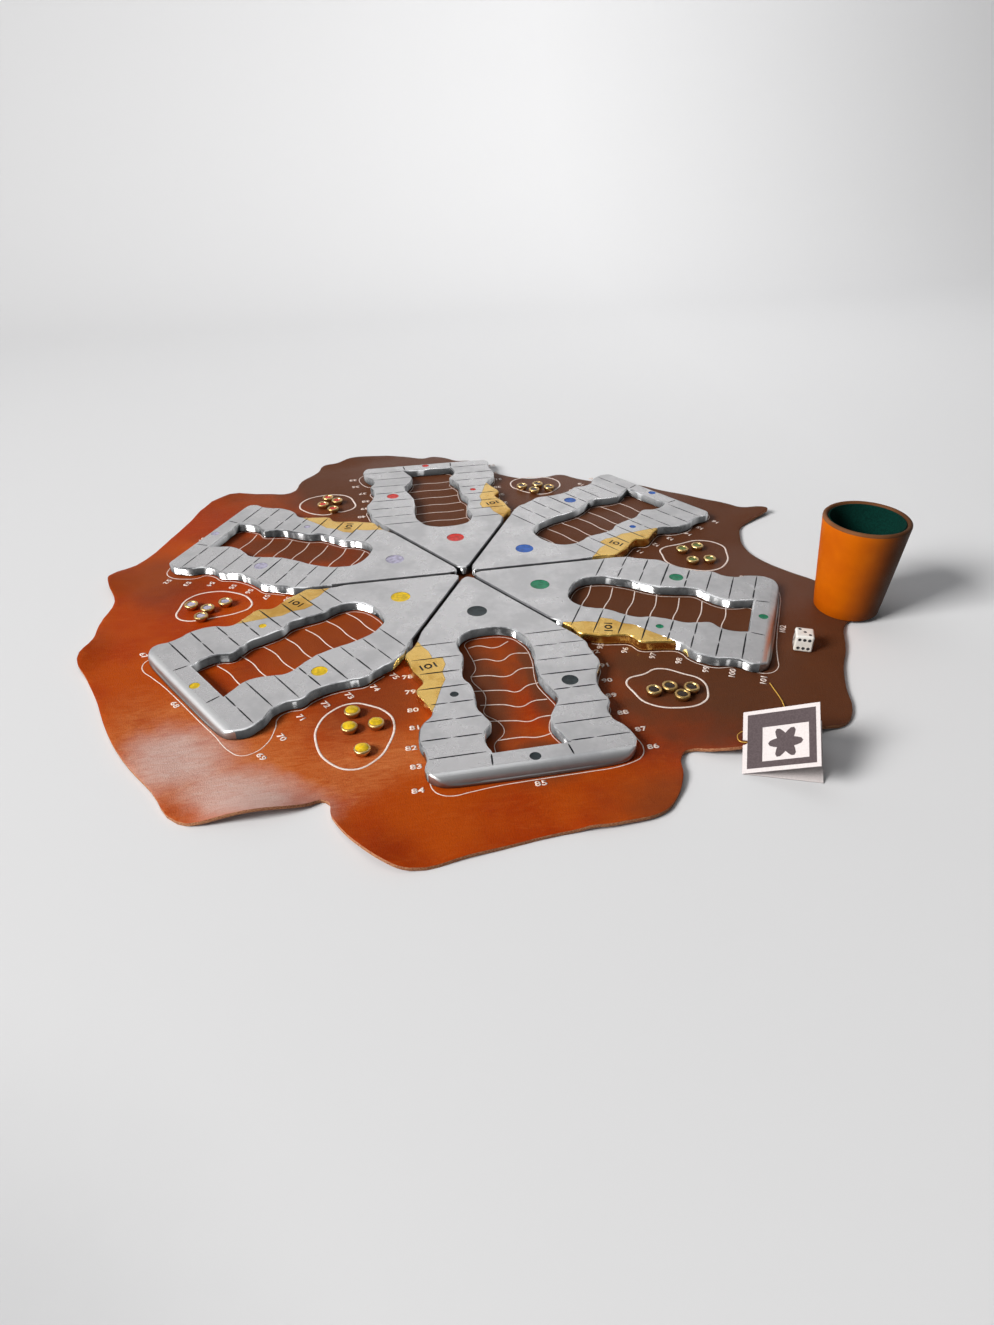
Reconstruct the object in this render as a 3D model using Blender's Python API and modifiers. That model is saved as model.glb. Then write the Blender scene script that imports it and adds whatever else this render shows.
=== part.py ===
"""A six-player pachisi board: six cast arms on a hide, with tokens, a die, a dice cup and a hang tag.

Metres, +Z up. The origin is the centre of the star on the table, and the black arm points to -Y.
"""
import math

import bmesh
import bpy
from mathutils import Matrix, Vector

PLAYERS = ("black", "green", "blue", "red", "white", "yellow")
ARM_TURN = 2 * math.pi / len(PLAYERS)

# How far an arm reaches from the star's centre: the hide and all that lies on it follow from it
ARM_REACH = 0.3015

# Clearances and overruns shared by every piece
GAP = 0.0003
OVERRUN = 0.002
MERGE = 0.00005

# The hide, whose edge is given in shares of its reach, and the places where the edge curls up
HIDE_THICKNESS = 0.003
HIDE_MARGIN = 0.0585
HIDE_REACH = ARM_REACH + HIDE_MARGIN
HIDE_SLICE = 0.034
HIDE_SLICED_SHARE = 1.2
HIDE_EDGE_SHARES = (
    (-0.15, 1.01), (-0.06, 0.98), (0.00, 0.95), (0.04, 0.96), (0.08, 0.94), (0.12, 0.90), (0.17, 0.89),
    (0.20, 0.86), (0.22, 0.79), (0.25, 0.74), (0.34, 0.68), (0.40, 0.68), (0.46, 0.69), (0.50, 0.65),
    (0.55, 0.61), (0.70, 0.54), (0.76, 0.48), (0.83, 0.42), (0.86, 0.39), (0.93, 0.33), (0.96, 0.29),
    (1.02, 0.265), (1.03, 0.245), (1.01, 0.23), (0.94, 0.19), (0.90, 0.16), (0.87, 0.10), (0.85, 0.03),
    (0.855, -0.04), (0.91, -0.15), (0.95, -0.21), (0.98, -0.27), (0.99, -0.33), (0.97, -0.39),
    (0.91, -0.44), (0.85, -0.55), (0.81, -0.61), (0.77, -0.69), (0.74, -0.77), (0.70, -0.81),
    (0.63, -0.82), (0.53, -0.84), (0.43, -0.86), (0.38, -0.845), (0.33, -0.825), (0.31, -0.84),
    (0.29, -0.90), (0.25, -0.96), (0.21, -0.99), (0.15, -1.00), (0.01, -1.00), (-0.17, -1.02),
    (-0.28, -1.03), (-0.32, -1.01), (-0.37, -0.95), (-0.41, -0.87), (-0.42, -0.82), (-0.46, -0.83),
    (-0.51, -0.84), (-0.61, -0.84), (-0.70, -0.82), (-0.76, -0.72), (-0.83, -0.61), (-0.88, -0.50),
    (-0.92, -0.38), (-0.96, -0.28), (-0.99, -0.21), (-0.97, -0.12), (-0.97, -0.04), (-0.95, 0.08),
    (-0.98, 0.18), (-0.98, 0.21), (-0.90, 0.32), (-0.82, 0.50), (-0.68, 0.75), (-0.56, 0.74),
    (-0.48, 0.73), (-0.44, 0.82), (-0.38, 0.90), (-0.36, 0.95), (-0.31, 0.96), (-0.26, 0.99),
)
CURL_SPREAD = 0.041
CURL_FADE_SHARE = 0.10
CURL_HEIGHT = 0.020
# Each curl: its centre in shares of the hide's reach, and its height in shares of CURL_HEIGHT
CURL_SHARES = (
    (-0.55, -0.93, 1.0), (-0.41, -1.04, 0.4), (-1.09, -0.16, 0.8), (-1.07, 0.20, 0.7), (1.08, 0.25, 0.3),
    (0.17, -1.12, 0.5), (-0.31, 1.09, 0.5), (-0.78, 0.83, 0.4),
)
# The two curls that the hang tag leans on: each one's offset from the tag, and its share of the height
TAG_CURLS = ((0.0058, -0.0107, 0.75), (0.0634, -0.0071, 0.7))

# One cast arm, in its own frame: across is to the right seen from outside, out is along its axis
ARM_THICKNESS = 0.0097
ARM_HALF_WIDTH = 0.085
SEAM_HALF = 0.0012
NOSE_REACH = 0.0098
NOSE_LENGTH = 0.004
FIRST_GROOVE = 0.1266
RIGHT_WEDGE_SETBACK = 0.0111
LEFT_WEDGE_SETBACK = 0.0231
RIGHT_WEDGE_REACH = FIRST_GROOVE - RIGHT_WEDGE_SETBACK
LEFT_WEDGE_REACH = FIRST_GROOVE - LEFT_WEDGE_SETBACK
END_CELL = 0.0230
GROOVES = 8
CELL_PITCH = (ARM_REACH - END_CELL - FIRST_GROOVE) / (GROOVES - 1)
GROOVE_WIDTH = 0.0014
GROOVE_DEPTH = 0.0008
END_GROOVE_ACROSS = 0.0295
WINDOW_ARCH_RISE = 0.0173
END_BAR = 0.0220
WINDOW_END = ARM_REACH - END_BAR
WINDOW_HALF = 0.0290
# Half widths at every half cell from the first groove outwards, in shares of ARM_HALF_WIDTH
RIGHT_EDGE_SHARES = (0.845, 0.92, 0.965, 0.97, 0.985, 1.0, 0.945, 0.895, 0.87, 0.87, 0.90, 0.845, 0.845,
                     0.91, 0.955, 0.945)
LEFT_EDGE_SHARES = (0.80, 0.895, 0.88, 0.865, 0.82, 0.79, 0.865, 0.835, 0.785, 0.765, 0.87, 0.92, 0.935,
                    0.905, 0.90, 0.93)
WINDOW_RIGHT_SHARES = (0.34, 0.38, 0.385, 0.38, 0.36, 0.345, 0.34, 0.365, 0.40, 0.425, 0.36, 0.295, 0.275,
                       0.31)
WINDOW_LEFT_SHARES = (0.335, 0.345, 0.325, 0.345, 0.375, 0.385, 0.335, 0.325, 0.33, 0.34, 0.295, 0.26,
                      0.34, 0.355)
RIGHT_CORNER_SHARES = ((0.85, 0.993), (0.78, 1.0))
LEFT_CORNER_SHARES = ((-0.77, 1.0), (-0.85, 0.992))
WINDOW_CORNER_SHARES = (0.36, -0.325)

# The brass patch let into the left lane, with its inner edge in the same shares
PATCH_SETBACK = 0.0096
PATCH_START = FIRST_GROOVE - PATCH_SETBACK
PATCH_NOSE_ACROSS = 0.753 * ARM_HALF_WIDTH
PATCH_EDGE_SHARES = (0.715, 0.655, 0.60, 0.525, 0.575, 0.565, 0.62, 0.67, 0.715)
PATCH_LEAST_WIDTH = 0.0060
PATCH_TIP = FIRST_GROOVE + 4.42 * CELL_PITCH

# Enamel dots: where each one sits (across, out) and its radius
ENAMEL_POCKET_DEPTH = 0.0015
LANE_DOT_OUT = FIRST_GROOVE + 3.52 * CELL_PITCH
END_DOT_INSET = 0.0110
HOME_DOT = (-0.0026, 0.0786, 0.0094)
START_DOT = (0.618 * ARM_HALF_WIDTH, LANE_DOT_OUT, 0.0070)
REST_DOT = (-0.518 * ARM_HALF_WIDTH, LANE_DOT_OUT, 0.0036)
END_DOT = (0.0020, ARM_REACH - END_DOT_INSET, 0.0044)
HOME_DOT_SIDES = 16
LANE_DOT_SIDES = 10

# Tokens, which lie in six groups on the hide
TOKEN_RADIUS = 0.0066
TOKEN_HEIGHT = 0.0052
TOKEN_SIDES = 12
TOKEN_RIM_SHARE = 0.90
TOKEN_FOOT_SHARE = 0.80
TOKEN_BELLY_SHARE = 0.62
TOKEN_RECESS_RADIUS = 0.0042
TOKEN_RECESS_DEPTH = 0.0012
TOKEN_SPREAD = 0.0210
# Each group: its centre in shares of ARM_REACH, then the four tokens' offsets in shares of TOKEN_SPREAD
TOKEN_GROUPS = {
    "black": ((0.4478, -0.7496), ((-0.79, 0.13), (-0.09, 0.25), (0.19, -0.38), (0.72, 0.0))),
    "green": ((0.8126, -0.0033), ((-0.44, 0.61), (0.43, 0.77), (-0.37, -0.61), (0.50, -0.68))),
    "blue": ((0.4063, 0.6932), ((-0.72, 0.27), (-0.16, -0.43), (0.23, 0.33), (0.78, -0.25))),
    "red": ((-0.4179, 0.7048), ((-0.41, -0.10), (-0.10, 0.79), (0.39, 0.27), (0.11, -0.80))),
    "white": ((-0.8358, -0.0265), ((-0.71, 0.40), (0.80, 0.36), (0.04, -0.06), (-0.19, -0.74))),
    "yellow": ((-0.4030, -0.7396), ((-0.22, 1.08), (0.61, 0.16), (-0.39, 0.13), (-0.01, -1.24))),
}

# The die and the dice cup stand past the outer end of the green arm
SIDE_ARM = PLAYERS.index("green")
DIE_SIDE = 0.016
DIE_ROUND = 0.0018
DIE_ACROSS = -0.0247
DIE_CLEAR = 0.0175
DIE_TURN = math.radians(-25.3)
PIP_RADIUS = 0.00145
PIP_DEPTH = 0.0006
PIP_SPACING = 0.0042
PIP_SIDES = 6

# The dice cup
CUP_ACROSS = 0.0626
CUP_CLEAR = 0.0234
CUP_HEIGHT = 0.092
CUP_BASE_RADIUS = 0.0292
CUP_TOP_RADIUS = 0.0385
CUP_WALL = 0.0046
CUP_LINING = 0.0012
CUP_FLOOR = 0.0040
CUP_RIM_ROUND = 0.0012
LINING_DROP = 0.0015
CUP_SIDES = 32

# The hang tag: a folded card that leans on the hide's lifted edge, near end of its fold on the table,
# whose place is in shares of the hide's reach and whose rise is the height of that end
TAG_FOLD = 0.050
TAG_WIDTH = 0.057
TAG_CARD = 0.0005
TAG_PLACE_SHARES = (0.4139, -0.9103)
TAG_RISE = 0.0007
TAG_TURN = math.radians(21.7)
TAG_TILT = math.radians(26.8)
TAG_OPENING = math.radians(30.8)
TAG_HOLE = 0.0034
TAG_HOLE_RADIUS = 0.0022

# The gold thread that ties the tag to the hide: its route's own points, from the hide to the fold,
# as (x, y) from the tag's place and the height over the table
THREAD_DIAMETER = 0.0009
THREAD_STEP = 0.0026
THREAD_ROUTE = (
    (0.0690, 0.0977, 0.0038), (0.0686, 0.0897, 0.0038), (0.0682, 0.0817, 0.0038), (0.0672, 0.0717, 0.0039),
    (0.0640, 0.0617, 0.0045), (0.0570, 0.0527, 0.0060), (0.0470, 0.0447, 0.0080), (0.0350, 0.0397, 0.0092),
    (0.0230, 0.0374, 0.0098), (0.0150, 0.0360, 0.0096), (0.0098, 0.0325, 0.0101), (0.0074, 0.0282, 0.0113),
    (0.0062, 0.0245, 0.0123), (0.0068, 0.0219, 0.0126), (0.0095, 0.0204, 0.0126), (0.0140, 0.0187, 0.0134),
)


def add_material(name, colour, roughness, metallic=0.0):
    """A Principled material with one plain colour."""
    material = bpy.data.materials.new(name)
    material.use_nodes = True
    shader = material.node_tree.nodes["Principled BSDF"]
    shader.inputs["Base Color"].default_value = (*colour, 1.0)
    shader.inputs["Roughness"].default_value = roughness
    shader.inputs["Metallic"].default_value = metallic
    material.diffuse_color = (*colour, 1.0)
    return material


def make_materials():
    """Every finish on the object, by name."""
    finishes = {
        "hide": add_material("hide_leather", (0.27, 0.075, 0.025), 0.5),
        "casting": add_material("cast_aluminium", (0.60, 0.60, 0.62), 0.32, 1.0),
        "patch": add_material("patch_brass", (0.75, 0.55, 0.24), 0.35, 1.0),
        "token": add_material("token_brass", (0.62, 0.45, 0.20), 0.35, 1.0),
        "die": add_material("die_white", (0.85, 0.83, 0.78), 0.3),
        "cup": add_material("cup_leather", (0.62, 0.20, 0.03), 0.4),
        "lining": add_material("cup_lining_green", (0.01, 0.10, 0.06), 0.8),
        "card": add_material("tag_card", (0.80, 0.79, 0.78), 0.7),
        "thread": add_material("thread_gold", (0.72, 0.48, 0.12), 0.4, 0.6),
    }
    enamels = {
        "black": (0.03, 0.04, 0.045), "green": (0.01, 0.26, 0.13), "blue": (0.03, 0.13, 0.42),
        "red": (0.62, 0.03, 0.02), "white": (0.55, 0.52, 0.62), "yellow": (0.80, 0.60, 0.03),
    }
    for player, colour in enamels.items():
        finishes[player] = add_material("enamel_" + player, colour, 0.2)
    return finishes


def add_collection(name):
    """A collection of this name in the scene."""
    collection = bpy.data.collections.new(name)
    bpy.context.scene.collection.children.link(collection)
    return collection


def add_object(name, data, collection, material=None):
    """An object of this name, with its one material."""
    piece = bpy.data.objects.new(name, data)
    collection.objects.link(piece)
    if material:
        data.materials.append(material)
    return piece


def add_cutter(name, data, collection):
    """A cutting shape, kept out of the finished model."""
    cutter = add_object(name, data, collection)
    cutter.hide_render = True
    cutter.display_type = "WIRE"
    return cutter


def mesh_from(shape):
    """A bmesh written to a new mesh."""
    mesh = bpy.data.meshes.new("mesh")
    shape.to_mesh(mesh)
    shape.free()
    return mesh


def shade_round(mesh, angle=math.radians(35)):
    """Smooth shading with crisp edges."""
    mesh.shade_smooth()
    mesh.set_sharp_from_angle(angle=angle)


def add_boolean(piece, cutter, operation="DIFFERENCE"):
    """A live Boolean with the exact solver."""
    modifier = piece.modifiers.new(cutter.name, "BOOLEAN")
    modifier.object = cutter
    modifier.operation = operation
    modifier.solver = "EXACT"


def settle(piece):
    """Bakes a piece's modifiers into its mesh, so that copies can share it."""
    depsgraph = bpy.context.evaluated_depsgraph_get()
    mesh = bpy.data.meshes.new_from_object(piece.evaluated_get(depsgraph))
    piece.modifiers.clear()
    piece.data = mesh
    return mesh


def outline_mesh(loops, thickness, resolution, grow=0.0):
    """A flat slab between smooth closed loops of (x, y, handle) points, centred on z = 0."""
    curve = bpy.data.curves.new("outline", "CURVE")
    curve.dimensions = "2D"
    curve.fill_mode = "BOTH" if thickness else "NONE"
    curve.extrude = thickness / 2
    curve.offset = grow
    curve.resolution_u = resolution
    for loop in loops:
        spline = curve.splines.new("BEZIER")
        spline.bezier_points.add(len(loop) - 1)
        for point, (x, y, handle) in zip(spline.bezier_points, loop):
            point.co = (x, y, 0)
            point.handle_left_type = handle
            point.handle_right_type = handle
        spline.use_cyclic_u = True
    holder = bpy.data.objects.new("outline", curve)
    bpy.context.scene.collection.objects.link(holder)
    depsgraph = bpy.context.evaluated_depsgraph_get()
    mesh = bpy.data.meshes.new_from_object(holder.evaluated_get(depsgraph))
    bpy.data.objects.remove(holder)
    shape = bmesh.new()
    shape.from_mesh(mesh)
    bmesh.ops.remove_doubles(shape, verts=shape.verts, dist=MERGE)
    bpy.data.meshes.remove(mesh)
    return mesh_from(shape)


def seam_line(out):
    """How far across the straight side of a wedge lies, this far out."""
    half_turn = ARM_TURN / 2
    return out * math.tan(half_turn) - SEAM_HALF / math.cos(half_turn)


def half_cell(index):
    """The distance out of the half cell with this index."""
    return FIRST_GROOVE + index * CELL_PITCH / 2


def on_arm(across, out, handle="AUTO"):
    """A point of an arm's outline: the arm points to -Y."""
    return (across, -out, handle)


def past_arm(index, across, beyond):
    """The place (x, y) on the hide that lies this far past the outer end of one arm."""
    turn = Matrix.Rotation(index * ARM_TURN, 2)
    return turn @ Vector((across, -(ARM_REACH + beyond)))


def left_edge(index):
    """How far across an arm's left edge lies at the half cell with this index."""
    return min(LEFT_EDGE_SHARES[index] * ARM_HALF_WIDTH, seam_line(half_cell(index)))


def arm_outline():
    """The outer edge, from the nose down the right lane, across the end bar and up the left lane."""
    nose_side = NOSE_REACH + NOSE_LENGTH
    points = [on_arm(0, NOSE_REACH), on_arm(seam_line(nose_side), nose_side, "VECTOR")]
    points.append(on_arm(seam_line(RIGHT_WEDGE_REACH), RIGHT_WEDGE_REACH, "VECTOR"))
    for index, share in enumerate(RIGHT_EDGE_SHARES):
        out = half_cell(index)
        points.append(on_arm(min(share * ARM_HALF_WIDTH, seam_line(out)), out))
    for across, out in (*RIGHT_CORNER_SHARES, *LEFT_CORNER_SHARES):
        points.append(on_arm(across * ARM_HALF_WIDTH, out * ARM_REACH))
    for index in reversed(range(len(LEFT_EDGE_SHARES))):
        points.append(on_arm(-left_edge(index), half_cell(index)))
    points.append(on_arm(-seam_line(LEFT_WEDGE_REACH), LEFT_WEDGE_REACH, "VECTOR"))
    points.append(on_arm(-seam_line(nose_side), nose_side, "VECTOR"))
    return points


def window_outline():
    """The window's edge: a round arch towards the centre, wavy sides and a straight outer end."""
    points = []
    arch_steps = 4
    for step in range(1, arch_steps):
        angle = math.pi * step / arch_steps
        across = -WINDOW_HALF * math.cos(angle)
        points.append(on_arm(across, FIRST_GROOVE - WINDOW_ARCH_RISE * math.sin(angle)))
    for index, share in enumerate(WINDOW_RIGHT_SHARES):
        points.append(on_arm(share * ARM_HALF_WIDTH, half_cell(index)))
    for share in WINDOW_CORNER_SHARES:
        points.append(on_arm(share * ARM_HALF_WIDTH, WINDOW_END, "VECTOR"))
    for index, share in reversed(list(enumerate(WINDOW_LEFT_SHARES))):
        points.append(on_arm(-share * ARM_HALF_WIDTH, half_cell(index)))
    return points


def patch_outline():
    """The region that the brass patch takes out of the left lane, run past the arm's outer edge."""
    outside = ARM_HALF_WIDTH + OVERRUN
    points = [on_arm(-outside, PATCH_START, "VECTOR"), on_arm(-PATCH_NOSE_ACROSS, PATCH_START, "VECTOR")]
    for index, share in enumerate(PATCH_EDGE_SHARES):
        across = min(share * ARM_HALF_WIDTH, left_edge(index) - PATCH_LEAST_WIDTH)
        points.append(on_arm(-across, half_cell(index), "VECTOR"))
    points.append(on_arm(-left_edge(len(PATCH_EDGE_SHARES)), PATCH_TIP, "VECTOR"))
    points.append(on_arm(-outside, PATCH_TIP + OVERRUN, "VECTOR"))
    return points


def add_groove(shape, across, out, length, turn=0.0):
    """A wedge-shaped bar whose edge sinks into the arm's top face by the groove's depth."""
    slope = GROOVE_WIDTH / 2 / GROOVE_DEPTH
    height = GROOVE_DEPTH + OVERRUN
    ends = []
    for side in (-1, 1):
        corners = ((-slope * height, OVERRUN), (0, -GROOVE_DEPTH), (slope * height, OVERRUN))
        ends.append([Vector((side * length / 2, y, z)) for y, z in corners])
    prism = bmesh.ops.create_cone(shape, cap_ends=True, segments=3, radius1=1, radius2=1, depth=1)["verts"]
    place = Matrix.Translation((across, -out, ARM_THICKNESS / 2)) @ Matrix.Rotation(turn, 4, "Z")
    for vertex in prism:
        end = ends[vertex.co.z > 0]
        angle = math.atan2(vertex.co.x, vertex.co.y)
        corner = round(angle / (2 * math.pi / 3)) % 3
        vertex.co = place @ end[corner]


def groove_cutters(collection):
    """The grooves between the cells: those across both lanes, and two short ones on the end bar."""
    outside = ARM_HALF_WIDTH + OVERRUN
    last_groove = FIRST_GROOVE + (GROOVES - 1) * CELL_PITCH
    lanes = bmesh.new()
    for index in range(GROOVES - 1):
        add_groove(lanes, 0, FIRST_GROOVE + index * CELL_PITCH, 2 * outside)
    ends = bmesh.new()
    end_length = ARM_REACH + OVERRUN - last_groove
    corner_length = outside - END_GROOVE_ACROSS
    for side in (-1, 1):
        add_groove(lanes, side * (END_GROOVE_ACROSS + corner_length / 2), last_groove, corner_length)
        add_groove(ends, side * END_GROOVE_ACROSS, last_groove + end_length / 2, end_length, math.pi / 2)
    return (add_cutter("lane_groove_cutter", mesh_from(lanes), collection),
            add_cutter("end_groove_cutter", mesh_from(ends), collection))


def add_disc(shape, dot, bottom, top, sides, inset=0.0):
    """A round plug at a dot's place on the arm, between two heights over the arm's middle."""
    across, out, radius = dot
    place = Matrix.Translation((across, -out, (bottom + top) / 2))
    bmesh.ops.create_cone(shape, cap_ends=True, segments=sides, radius1=radius - inset,
                          radius2=radius - inset, depth=top - bottom, matrix=place)


def pocket_cutter(collection):
    """Plugs that sink the enamel pockets into the arm's top face."""
    shape = bmesh.new()
    top = ARM_THICKNESS / 2
    for dot, sides in ((HOME_DOT, HOME_DOT_SIDES), (START_DOT, LANE_DOT_SIDES), (REST_DOT, LANE_DOT_SIDES),
                       (END_DOT, LANE_DOT_SIDES)):
        add_disc(shape, dot, top - ENAMEL_POCKET_DEPTH, top + OVERRUN, sides)
    return add_cutter("pocket_cutter", mesh_from(shape), collection)


def make_castings(cutters):
    """The meshes of one arm and of its brass patch, cut from the same blank."""
    blank = outline_mesh((arm_outline(), window_outline()), ARM_THICKNESS, 2)
    patch_slab = outline_mesh((patch_outline(),), ARM_THICKNESS + 2 * OVERRUN, 1)
    seat_slab = outline_mesh((patch_outline(),), ARM_THICKNESS + 2 * OVERRUN, 1, GAP)
    lane_grooves, end_grooves = groove_cutters(cutters)
    pockets = pocket_cutter(cutters)
    patch_region = add_cutter("patch_cutter", patch_slab, cutters)
    seat_region = add_cutter("patch_seat_cutter", seat_slab, cutters)
    arm = add_cutter("arm_blank", blank, cutters)
    patch = add_cutter("patch_blank", blank.copy(), cutters)
    add_boolean(arm, seat_region)
    add_boolean(arm, pockets)
    add_boolean(arm, lane_grooves)
    add_boolean(arm, end_grooves)
    add_boolean(patch, patch_region, "INTERSECT")
    add_boolean(patch, lane_grooves)
    return settle(arm), settle(patch)


def make_arms(parts, cutters, finishes):
    """Six arms round the star's centre, each with its patch and its enamel dots."""
    arm_mesh, patch_mesh = make_castings(cutters)
    arm_mesh.materials.append(finishes["casting"])
    patch_mesh.materials.append(finishes["patch"])
    shade_round(arm_mesh)
    shade_round(patch_mesh)
    top = ARM_THICKNESS / 2
    floor = top - ENAMEL_POCKET_DEPTH + GAP
    for index, player in enumerate(PLAYERS):
        arm = add_object("arm_" + player, arm_mesh, parts)
        arm.location = (0, 0, HIDE_THICKNESS + GAP + ARM_THICKNESS / 2)
        arm.rotation_euler = (0, 0, index * ARM_TURN)
        patch = add_object("brass_patch_" + player, patch_mesh, parts)
        patch.parent = arm
        dots = (("home_dot_", HOME_DOT, HOME_DOT_SIDES), ("start_dot_", START_DOT, LANE_DOT_SIDES))
        for name, dot, sides in dots:
            enamel = bmesh.new()
            add_disc(enamel, dot, floor, top, sides, GAP)
            plug = add_object(name + player, mesh_from(enamel), parts, finishes[player])
            plug.parent = arm


def tag_place():
    """Where the near end of the tag's fold stands (x, y)."""
    return tuple(share * HIDE_REACH for share in TAG_PLACE_SHARES)


def curls():
    """Every curl of the hide's edge: its centre (x, y) and its share of the height."""
    tag_x, tag_y = tag_place()
    places = [(x * HIDE_REACH, y * HIDE_REACH, share) for x, y, share in CURL_SHARES]
    return places + [(tag_x + x, tag_y + y, share) for x, y, share in TAG_CURLS]


def hide_lift(x, y):
    """How far the hide's edge curls off the table at a place."""
    lift = 0.0
    for across, along, share in curls():
        distance = math.hypot(x - across, y - along)
        swell = math.exp(-(distance / CURL_SPREAD) ** 2)
        lift += share * CURL_HEIGHT * max(0.0, swell - CURL_FADE_SHARE)
    return lift


def make_hide(parts, finishes):
    """The hide: its edge filled flat, sliced into cells that can bend, curled and given its thickness."""
    edge = [(x * HIDE_REACH, y * HIDE_REACH, "AUTO") for x, y in HIDE_EDGE_SHARES]
    mesh = outline_mesh((edge,), 0, 2)
    shape = bmesh.new()
    shape.from_mesh(mesh)
    bmesh.ops.contextual_create(shape, geom=shape.edges[:])
    slices = int(HIDE_SLICED_SHARE * HIDE_REACH / HIDE_SLICE)
    for normal in (Vector((1, 0, 0)), Vector((0, 1, 0))):
        for index in range(-slices, slices):
            point = normal * (index + 0.5) * HIDE_SLICE
            whole = shape.verts[:] + shape.edges[:] + shape.faces[:]
            bmesh.ops.bisect_plane(shape, geom=whole, dist=MERGE, plane_co=point, plane_no=normal)
    for vertex in shape.verts:
        vertex.co.z = hide_lift(vertex.co.x, vertex.co.y)
    bmesh.ops.recalc_face_normals(shape, faces=shape.faces[:])
    if shape.faces[0].normal.z < 0:
        bmesh.ops.reverse_faces(shape, faces=shape.faces[:])
    hide = add_object("leather_mat", mesh_from(shape), parts, finishes["hide"])
    wall = hide.modifiers.new("thickness", "SOLIDIFY")
    wall.thickness = HIDE_THICKNESS
    wall.offset = 1.0
    hide.data.shade_smooth()


def turned(name, profile, closed, sides, collection, material):
    """A turned piece from its profile of (radius, height) points, top to bottom on the outer side."""
    shape = bmesh.new()
    points = [shape.verts.new((radius, 0, height)) for radius, height in profile]
    for first, second in zip(points, points[1:]):
        shape.edges.new((first, second))
    if closed:
        shape.edges.new((points[-1], points[0]))
    piece = add_object(name, mesh_from(shape), collection, material)
    screw = piece.modifiers.new("turn", "SCREW")
    screw.steps = sides
    screw.render_steps = sides
    screw.use_merge_vertices = True
    screw.merge_threshold = MERGE
    return piece


def token_profile():
    """Half a token's outline: a shallow recess, a flat rim, a swelling side and a flat foot."""
    rim = TOKEN_RADIUS * TOKEN_RIM_SHARE
    recess = TOKEN_HEIGHT - TOKEN_RECESS_DEPTH
    lip = TOKEN_RECESS_RADIUS + TOKEN_RECESS_DEPTH / 2
    return (
        (0, recess), (TOKEN_RECESS_RADIUS, recess), (lip, TOKEN_HEIGHT),
        (rim, TOKEN_HEIGHT), (TOKEN_RADIUS, TOKEN_HEIGHT * TOKEN_BELLY_SHARE),
        (TOKEN_RADIUS * TOKEN_FOOT_SHARE, 0), (0, 0),
    )


def make_tokens(parts, cutters, finishes):
    """Four tokens to a player, standing on the hide inside their group."""
    master = turned("token_blank", token_profile(), False, TOKEN_SIDES, cutters, finishes["token"])
    token_mesh = settle(master)
    shade_round(token_mesh)
    bpy.data.objects.remove(master)
    for player, (centre, offsets) in TOKEN_GROUPS.items():
        for number, (x, y) in enumerate(offsets, 1):
            token = add_object(f"token_{player}_{number}", token_mesh, parts)
            token.location = (centre[0] * ARM_REACH + x * TOKEN_SPREAD,
                              centre[1] * ARM_REACH + y * TOKEN_SPREAD, HIDE_THICKNESS + GAP)
            token.rotation_euler = (0, 0, number)


def pip_places(count):
    """Where a face's pips lie, in pip spacings from the face's middle."""
    corners = [(-1, 1), (1, -1), (-1, -1), (1, 1)]
    places = corners[:count - count % 2]
    if count == 6:
        places = corners + [(-1, 0), (1, 0)]
    if count % 2:
        places = places + [(0, 0)]
    return places


def make_die(parts, cutters, finishes):
    """The die: a cube with rounded edges and drilled pips, three on top and six to the front."""
    shape = bmesh.new()
    bmesh.ops.create_cube(shape, size=DIE_SIDE)
    bmesh.ops.bevel(shape, geom=shape.edges[:], offset=DIE_ROUND, segments=1, affect="EDGES", profile=0.5)
    die = add_object("die", mesh_from(shape), parts, finishes["die"])
    place = past_arm(SIDE_ARM, DIE_ACROSS, DIE_CLEAR + DIE_SIDE / 2)
    die.location = (*place, HIDE_THICKNESS + GAP + DIE_SIDE / 2)
    die.rotation_euler = (0, 0, DIE_TURN)
    drills = bmesh.new()
    half = math.pi / 2
    turns = {
        3: Matrix.Identity(4), 4: Matrix.Rotation(math.pi, 4, "X"),
        6: Matrix.Rotation(half, 4, "X"), 1: Matrix.Rotation(-half, 4, "X"),
        2: Matrix.Rotation(half, 4, "Y"), 5: Matrix.Rotation(-half, 4, "Y"),
    }
    depth = PIP_DEPTH + OVERRUN
    for count, turn in turns.items():
        for x, y in pip_places(count):
            height = DIE_SIDE / 2 - PIP_DEPTH + depth / 2
            # six pips lie in two level rows, so their columns run across the front face
            across, up = (y, x) if count == 6 else (x, y)
            place = Matrix.Translation((across * PIP_SPACING, up * PIP_SPACING, height))
            bmesh.ops.create_cone(drills, cap_ends=True, segments=PIP_SIDES, radius1=PIP_RADIUS,
                                  radius2=PIP_RADIUS, depth=depth, matrix=turn @ place)
    drill = add_cutter("pip_cutter", mesh_from(drills), cutters)
    drill.location = die.location
    drill.rotation_euler = die.rotation_euler
    add_boolean(die, drill)
    die.data.shade_smooth()
    die.data.set_sharp_from_angle(angle=math.radians(50))


def cup_radius(height):
    """The cup's outer radius at a height over its foot."""
    return CUP_BASE_RADIUS + (CUP_TOP_RADIUS - CUP_BASE_RADIUS) * height / CUP_HEIGHT


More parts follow.
